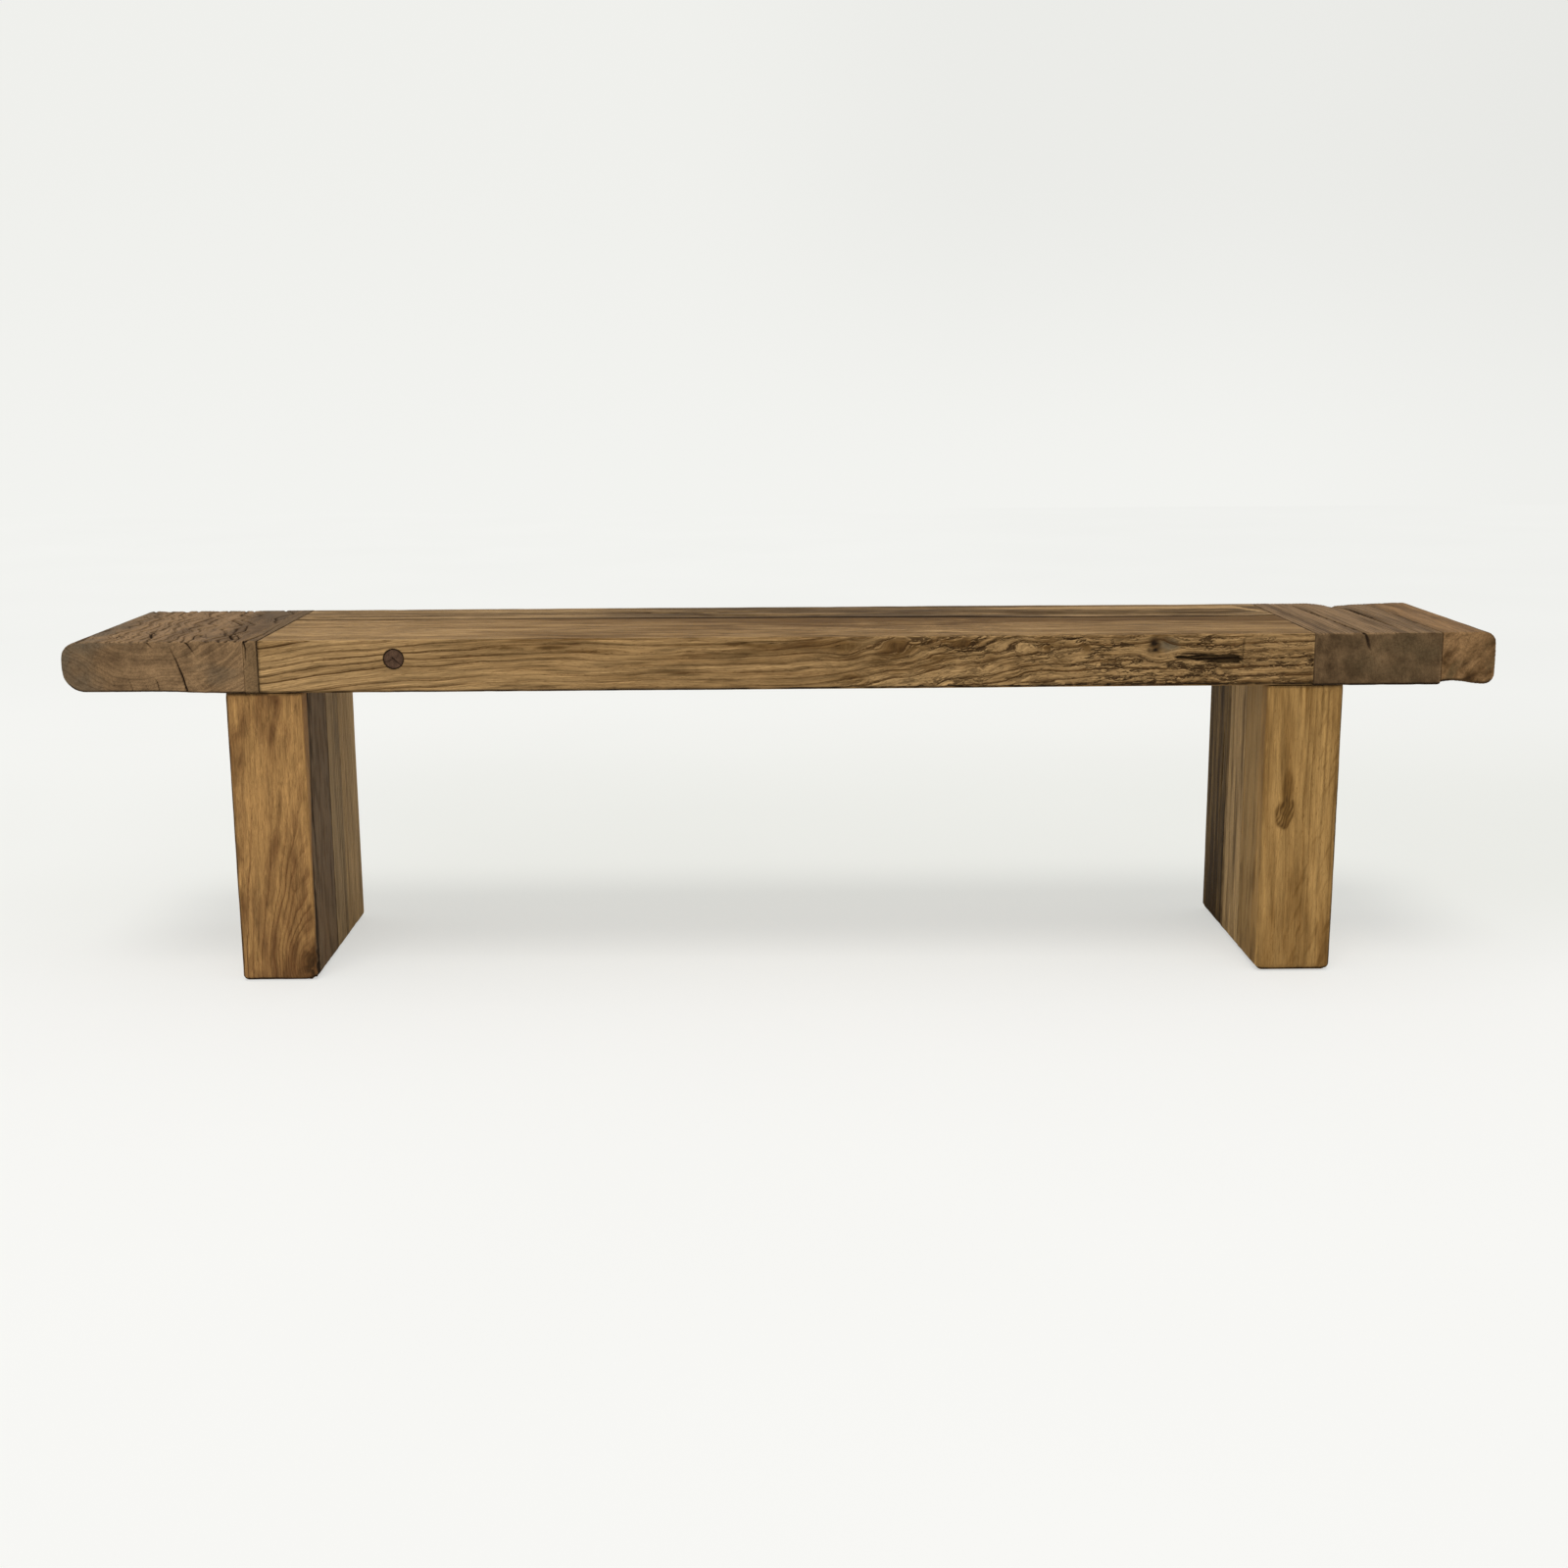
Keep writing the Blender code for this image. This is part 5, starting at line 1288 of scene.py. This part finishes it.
def peg():
    """The dark peg: discs of rings on its end, a little dished, with one crack across."""
    low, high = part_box("beam_peg")
    centre, radius = peg_round()
    turns = np.linspace(0, 2 * math.pi, 96, endpoint=False)
    shares = np.concatenate((np.linspace(0.03, 0.93, 26), (0.97, 0.99, 1.0)))
    rise = np.interp(shares, (0, 0.93, 0.97, 0.99, 1.0), (0.0004, 0.0, 0.0002, 0.0006, 0.0014))
    r = np.concatenate((shares, (1.0, 1.0, 0.96, 0.04)))[:, None] * radius
    y = np.concatenate((low.y + rise, ((low.y + high.y) / 2, high.y - 0.001, high.y, high.y)))
    y = y[:, None] + 0 * turns
    grid = np.stack((centre[0] + r * np.cos(turns), y, centre[1] + r * np.sin(turns)), 2)
    along = (grid[:, :, 0] - centre[0], grid[:, :, 2] - centre[1])
    long_crack = hump((along[1] + 0.9 * along[0]) / 0.0008) * (along[0] > -0.002)
    short_crack = hump((along[1] - 0.4 * along[0]) / 0.0006) * (along[0] < 0.001)
    cracks = np.maximum(long_crack, 0.7 * short_crack)
    cracks[len(shares) - 3:] = 0
    rough = noise(grid.reshape(-1, 3), (0.003,) * 3, 98).reshape(cracks.shape)
    grid[:, :, 1] += 0.0012 * cracks + 0.0002 * rough
    grid[:, :, 1] = np.clip(grid[:, :, 1], low.y, high.y)
    rows, count = cracks.shape
    i, j = np.meshgrid(np.arange(rows - 1), np.arange(count), indexing="ij")
    k = (j + 1) % count
    quads = np.stack((i * count + j, i * count + k, (i + 1) * count + k, (i + 1) * count + j), 2)
    faces = quads.reshape(-1, 4).tolist()
    faces.append(list(range(count))[::-1])
    faces.append(list(range((rows - 1) * count, rows * count)))
    mesh = bpy.data.meshes.new("beam_peg_oak")
    mesh.from_pydata(grid.reshape(-1, 3).tolist(), [], faces)
    mesh.update()
    mesh.shade_smooth()
    flat = grid.reshape(-1, 3)
    rings = np.hypot(flat[:, 0] - centre[0] + 0.004, flat[:, 2] - centre[1] - 0.003) / 0.0021
    rim = ramp(0.9, 0.97, np.hypot(along[0], along[1]).ravel() / radius)
    values = dict.fromkeys(Timber.MARKS, 0 * rings)
    values["rings"] = rings
    # The cracks are darkened, painted shade in them, and the rim is darker
    values["hollow"] = np.maximum(0.6 * cracks.ravel(), 0.75 * rim)
    values["bold"] = 0 * rings + 0.35
    values["tone"] = 0.45 + 0.5 * noise(flat, (0.006, 0.02, 0.006), 99)
    values["stain"] = 0 * rings + 0.3
    for mark, value in values.items():
        mesh.attributes.new(mark, "FLOAT", "POINT").data.foreach_set("value", value.astype(np.float32))
    mesh.materials.append(oak("peg_oak"))
    settle(mesh, "beam_peg")


def new_oak(axis):
    """Plain new oak for the hidden tenons, dowels and rods: pale, with fine straight fibres."""
    material = bpy.data.materials.new("new_oak_" + "xyz"[axis])
    g = Graph(material)
    where = g.add("TexCoord").outputs["Object"]
    cells = [700.0] * 3
    cells[axis] = 40.0
    fibres = g.noise(g.times(where, cells), 4.0, 0.6)
    cells = [150.0] * 3
    cells[axis] = 10.0
    bands = g.noise(g.times(where, cells), 2.0)
    base = g.mix(g.clamp(bands * 1.4 - 0.2), (0.4, 0.27, 0.145), (0.29, 0.18, 0.09))
    base = g.mix(g.step(0.55, 0.75, fibres), base, (0.2, 0.12, 0.055))
    g.finish(base, g.clamp(0.55 + fibres * 0.2), fibres, 0.0003)
    return material


def hidden_joinery():
    """The tenons, dowels and rods keep their solids, in new oak grained along each."""
    finishes = {axis: new_oak(axis) for axis in (X, Y, Z)}
    kinds = {"joint_tenon": X, "block_dowel": X, "edge_dowel": Y, "cross_rod": Y, "top_dowel": Z}
    for node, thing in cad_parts.items():
        for kind, axis in kinds.items():
            if kind in node:
                thing.data.materials.clear()
                thing.data.materials.append(finishes[axis])


# The stage

WALL = (0.868, 0.872, 0.842)
WALL_LOW = (0.892, 0.896, 0.868)
PAPER = (0.935, 0.936, 0.915)
# The darker paper colour behind the bench is a painted soft shadow
PAPER_IN_PAINTED_SHADOW = (0.845, 0.852, 0.815)
ROOM_LIGHT = 0.7
LAMP_STRENGTH = 1.05
LAMP_COLOUR = (1.0, 0.985, 0.95)
LAMP_LEAN_DEGREES = 22
LAMP_TURN_DEGREES = -3
LAMP_SIZE_DEGREES = 24
PAPER_GLOW = 0.58


def paper_floor():
    """A pale floor with a painted soft shadow behind the bench, lighter at the left, and a little painted
    shade to the right, that fades into the wall far off. Part of what the camera sees of it is glow, so the
    shadow stays soft and pale."""
    reach, rows = 9.0, 40
    side = np.linspace(-reach, reach, rows)
    x, y = np.meshgrid(side, side, indexing="ij")
    points = np.stack((x, y, 0 * x), 2).reshape(-1, 3)
    i, j = np.meshgrid(np.arange(rows - 1), np.arange(rows - 1), indexing="ij")
    corner = (i * rows + j).ravel()
    mesh = bpy.data.meshes.new("paper_floor")
    fill(mesh, points, np.stack((corner, corner + rows, corner + rows + 1, corner + 1), 1))
    material = bpy.data.materials.new("paper_floor")
    g = Graph(material)
    where = g.add("TexCoord").outputs["Object"]
    across, back, _ = g.parts(where)
    # The floor behind the bench is painted darker, a painted soft shadow, less so at the left
    dim = g.step(-0.35, 0.35, back) * (1 - g.step(0.7, 2.6, back)) * (1 - g.step(0.5, 1.3, 0 - across) * 0.5)
    seen = g.mix(dim, PAPER, PAPER_IN_PAINTED_SHADOW)
    seen = g.mix(g.step(0.8, 3.0, back), seen, WALL_LOW)
    # Slight random unevenness, and painted shade towards the right
    seen = g.shade(seen, 1 + (g.noise(where, 2.0, 0.5, 1.3) - 0.5) * 0.03 - g.step(0.3, 2.0, across) * 0.02)
    distance = g.add("VectorMath", {"operation": "LENGTH"}, {0: where}).outputs["Value"]
    far = g.step(1.2, 4.0, Value(g, distance))
    camera = Value(g, g.add("LightPath").outputs["Is Camera Ray"])
    paper = g.add("BsdfDiffuse", None, {"Color": seen})
    glow = g.add("Emission", None, {"Color": seen})
    share = (PAPER_GLOW + far * (1 - PAPER_GLOW)) * camera
    both = g.add("MixShader", None, {0: share, 1: paper.outputs[0], 2: glow.outputs[0]})
    g.add("OutputMaterial", None, {"Surface": both.outputs[0]})
    mesh.materials.append(material)
    floor = bpy.data.objects.new("paper_floor", mesh)
    bpy.context.scene.collection.objects.link(floor)


def room():
    """Even light from all round, which the camera sees as a pale wall, painted a little darker to the right
    as shade.
    """
    world = bpy.data.worlds.new("room")
    bpy.context.scene.world = world
    g = Graph(world)
    across, _, height = g.parts(g.add("TexCoord").outputs["Generated"])
    wall = g.mix(g.step(-0.08, 0.12, height), WALL_LOW, WALL)
    # Painted shade: the wall a little darker to the right, and more at the far right
    dimmer = 1 - g.step(-0.05, 0.12, across) * g.step(-0.05, 0.1, height) * 0.04
    wall = g.shade(wall, dimmer - g.step(0.22, 0.4, across) * 0.03)
    colour = g.mix(g.add("LightPath").outputs["Is Camera Ray"], (ROOM_LIGHT,) * 3, wall)
    light = g.add("Background", None, {"Color": colour})
    g.add("OutputWorld", None, {"Surface": light.outputs[0]})


def lamp():
    """One wide soft lamp, high and a little in front."""
    data = bpy.data.lights.new("soft_lamp", "SUN")
    data.energy = LAMP_STRENGTH
    data.angle = math.radians(LAMP_SIZE_DEGREES)
    data.color = LAMP_COLOUR
    thing = bpy.data.objects.new("soft_lamp", data)
    thing.rotation_euler = (math.radians(LAMP_LEAN_DEGREES), math.radians(LAMP_TURN_DEGREES), 0)
    bpy.context.scene.collection.objects.link(thing)


# The camera
FOCAL_PIXELS = 1991.57
PHOTO_PIXELS = 1600
SENSOR = 36.0
CAMERA_PLACE = (-0.0305, -2.632, 0.7755)
PITCH_DEGREES = 11.8279
YAW_DEGREES = 0.7575
ROLL_DEGREES = -0.3194


def camera():
    """Looks down by the pitch and to the right by the yaw, with its frame turned by the roll."""
    pitch, yaw, roll = (math.radians(a) for a in (PITCH_DEGREES, YAW_DEGREES, ROLL_DEGREES))
    forward = Vector((math.sin(yaw) * math.cos(pitch), math.cos(yaw) * math.cos(pitch), -math.sin(pitch)))
    level = Vector((math.cos(yaw), -math.sin(yaw), 0))
    above = level.cross(forward)
    right = math.cos(roll) * level + math.sin(roll) * above
    up = math.cos(roll) * above - math.sin(roll) * level
    data = bpy.data.cameras.new("camera")
    data.sensor_width = SENSOR
    data.lens = FOCAL_PIXELS * SENSOR / PHOTO_PIXELS
    thing = bpy.data.objects.new("camera", data)
    turn = Matrix((right, up, -forward)).transposed().to_4x4()
    thing.matrix_world = Matrix.Translation(CAMERA_PLACE) @ turn
    bpy.context.scene.collection.objects.link(thing)
    bpy.context.scene.camera = thing


bpy.context.scene.view_settings.view_transform = "Standard"
camera()
room()
lamp()
paper_floor()
front_beam()
rear_beam()
left_block()
left_slip()
right_inner_block()
right_outer_block()
left_front_post()
left_middle_post()
left_rear_post()
right_front_post()
right_middle_post()
right_rear_post()
peg()
hidden_joinery()
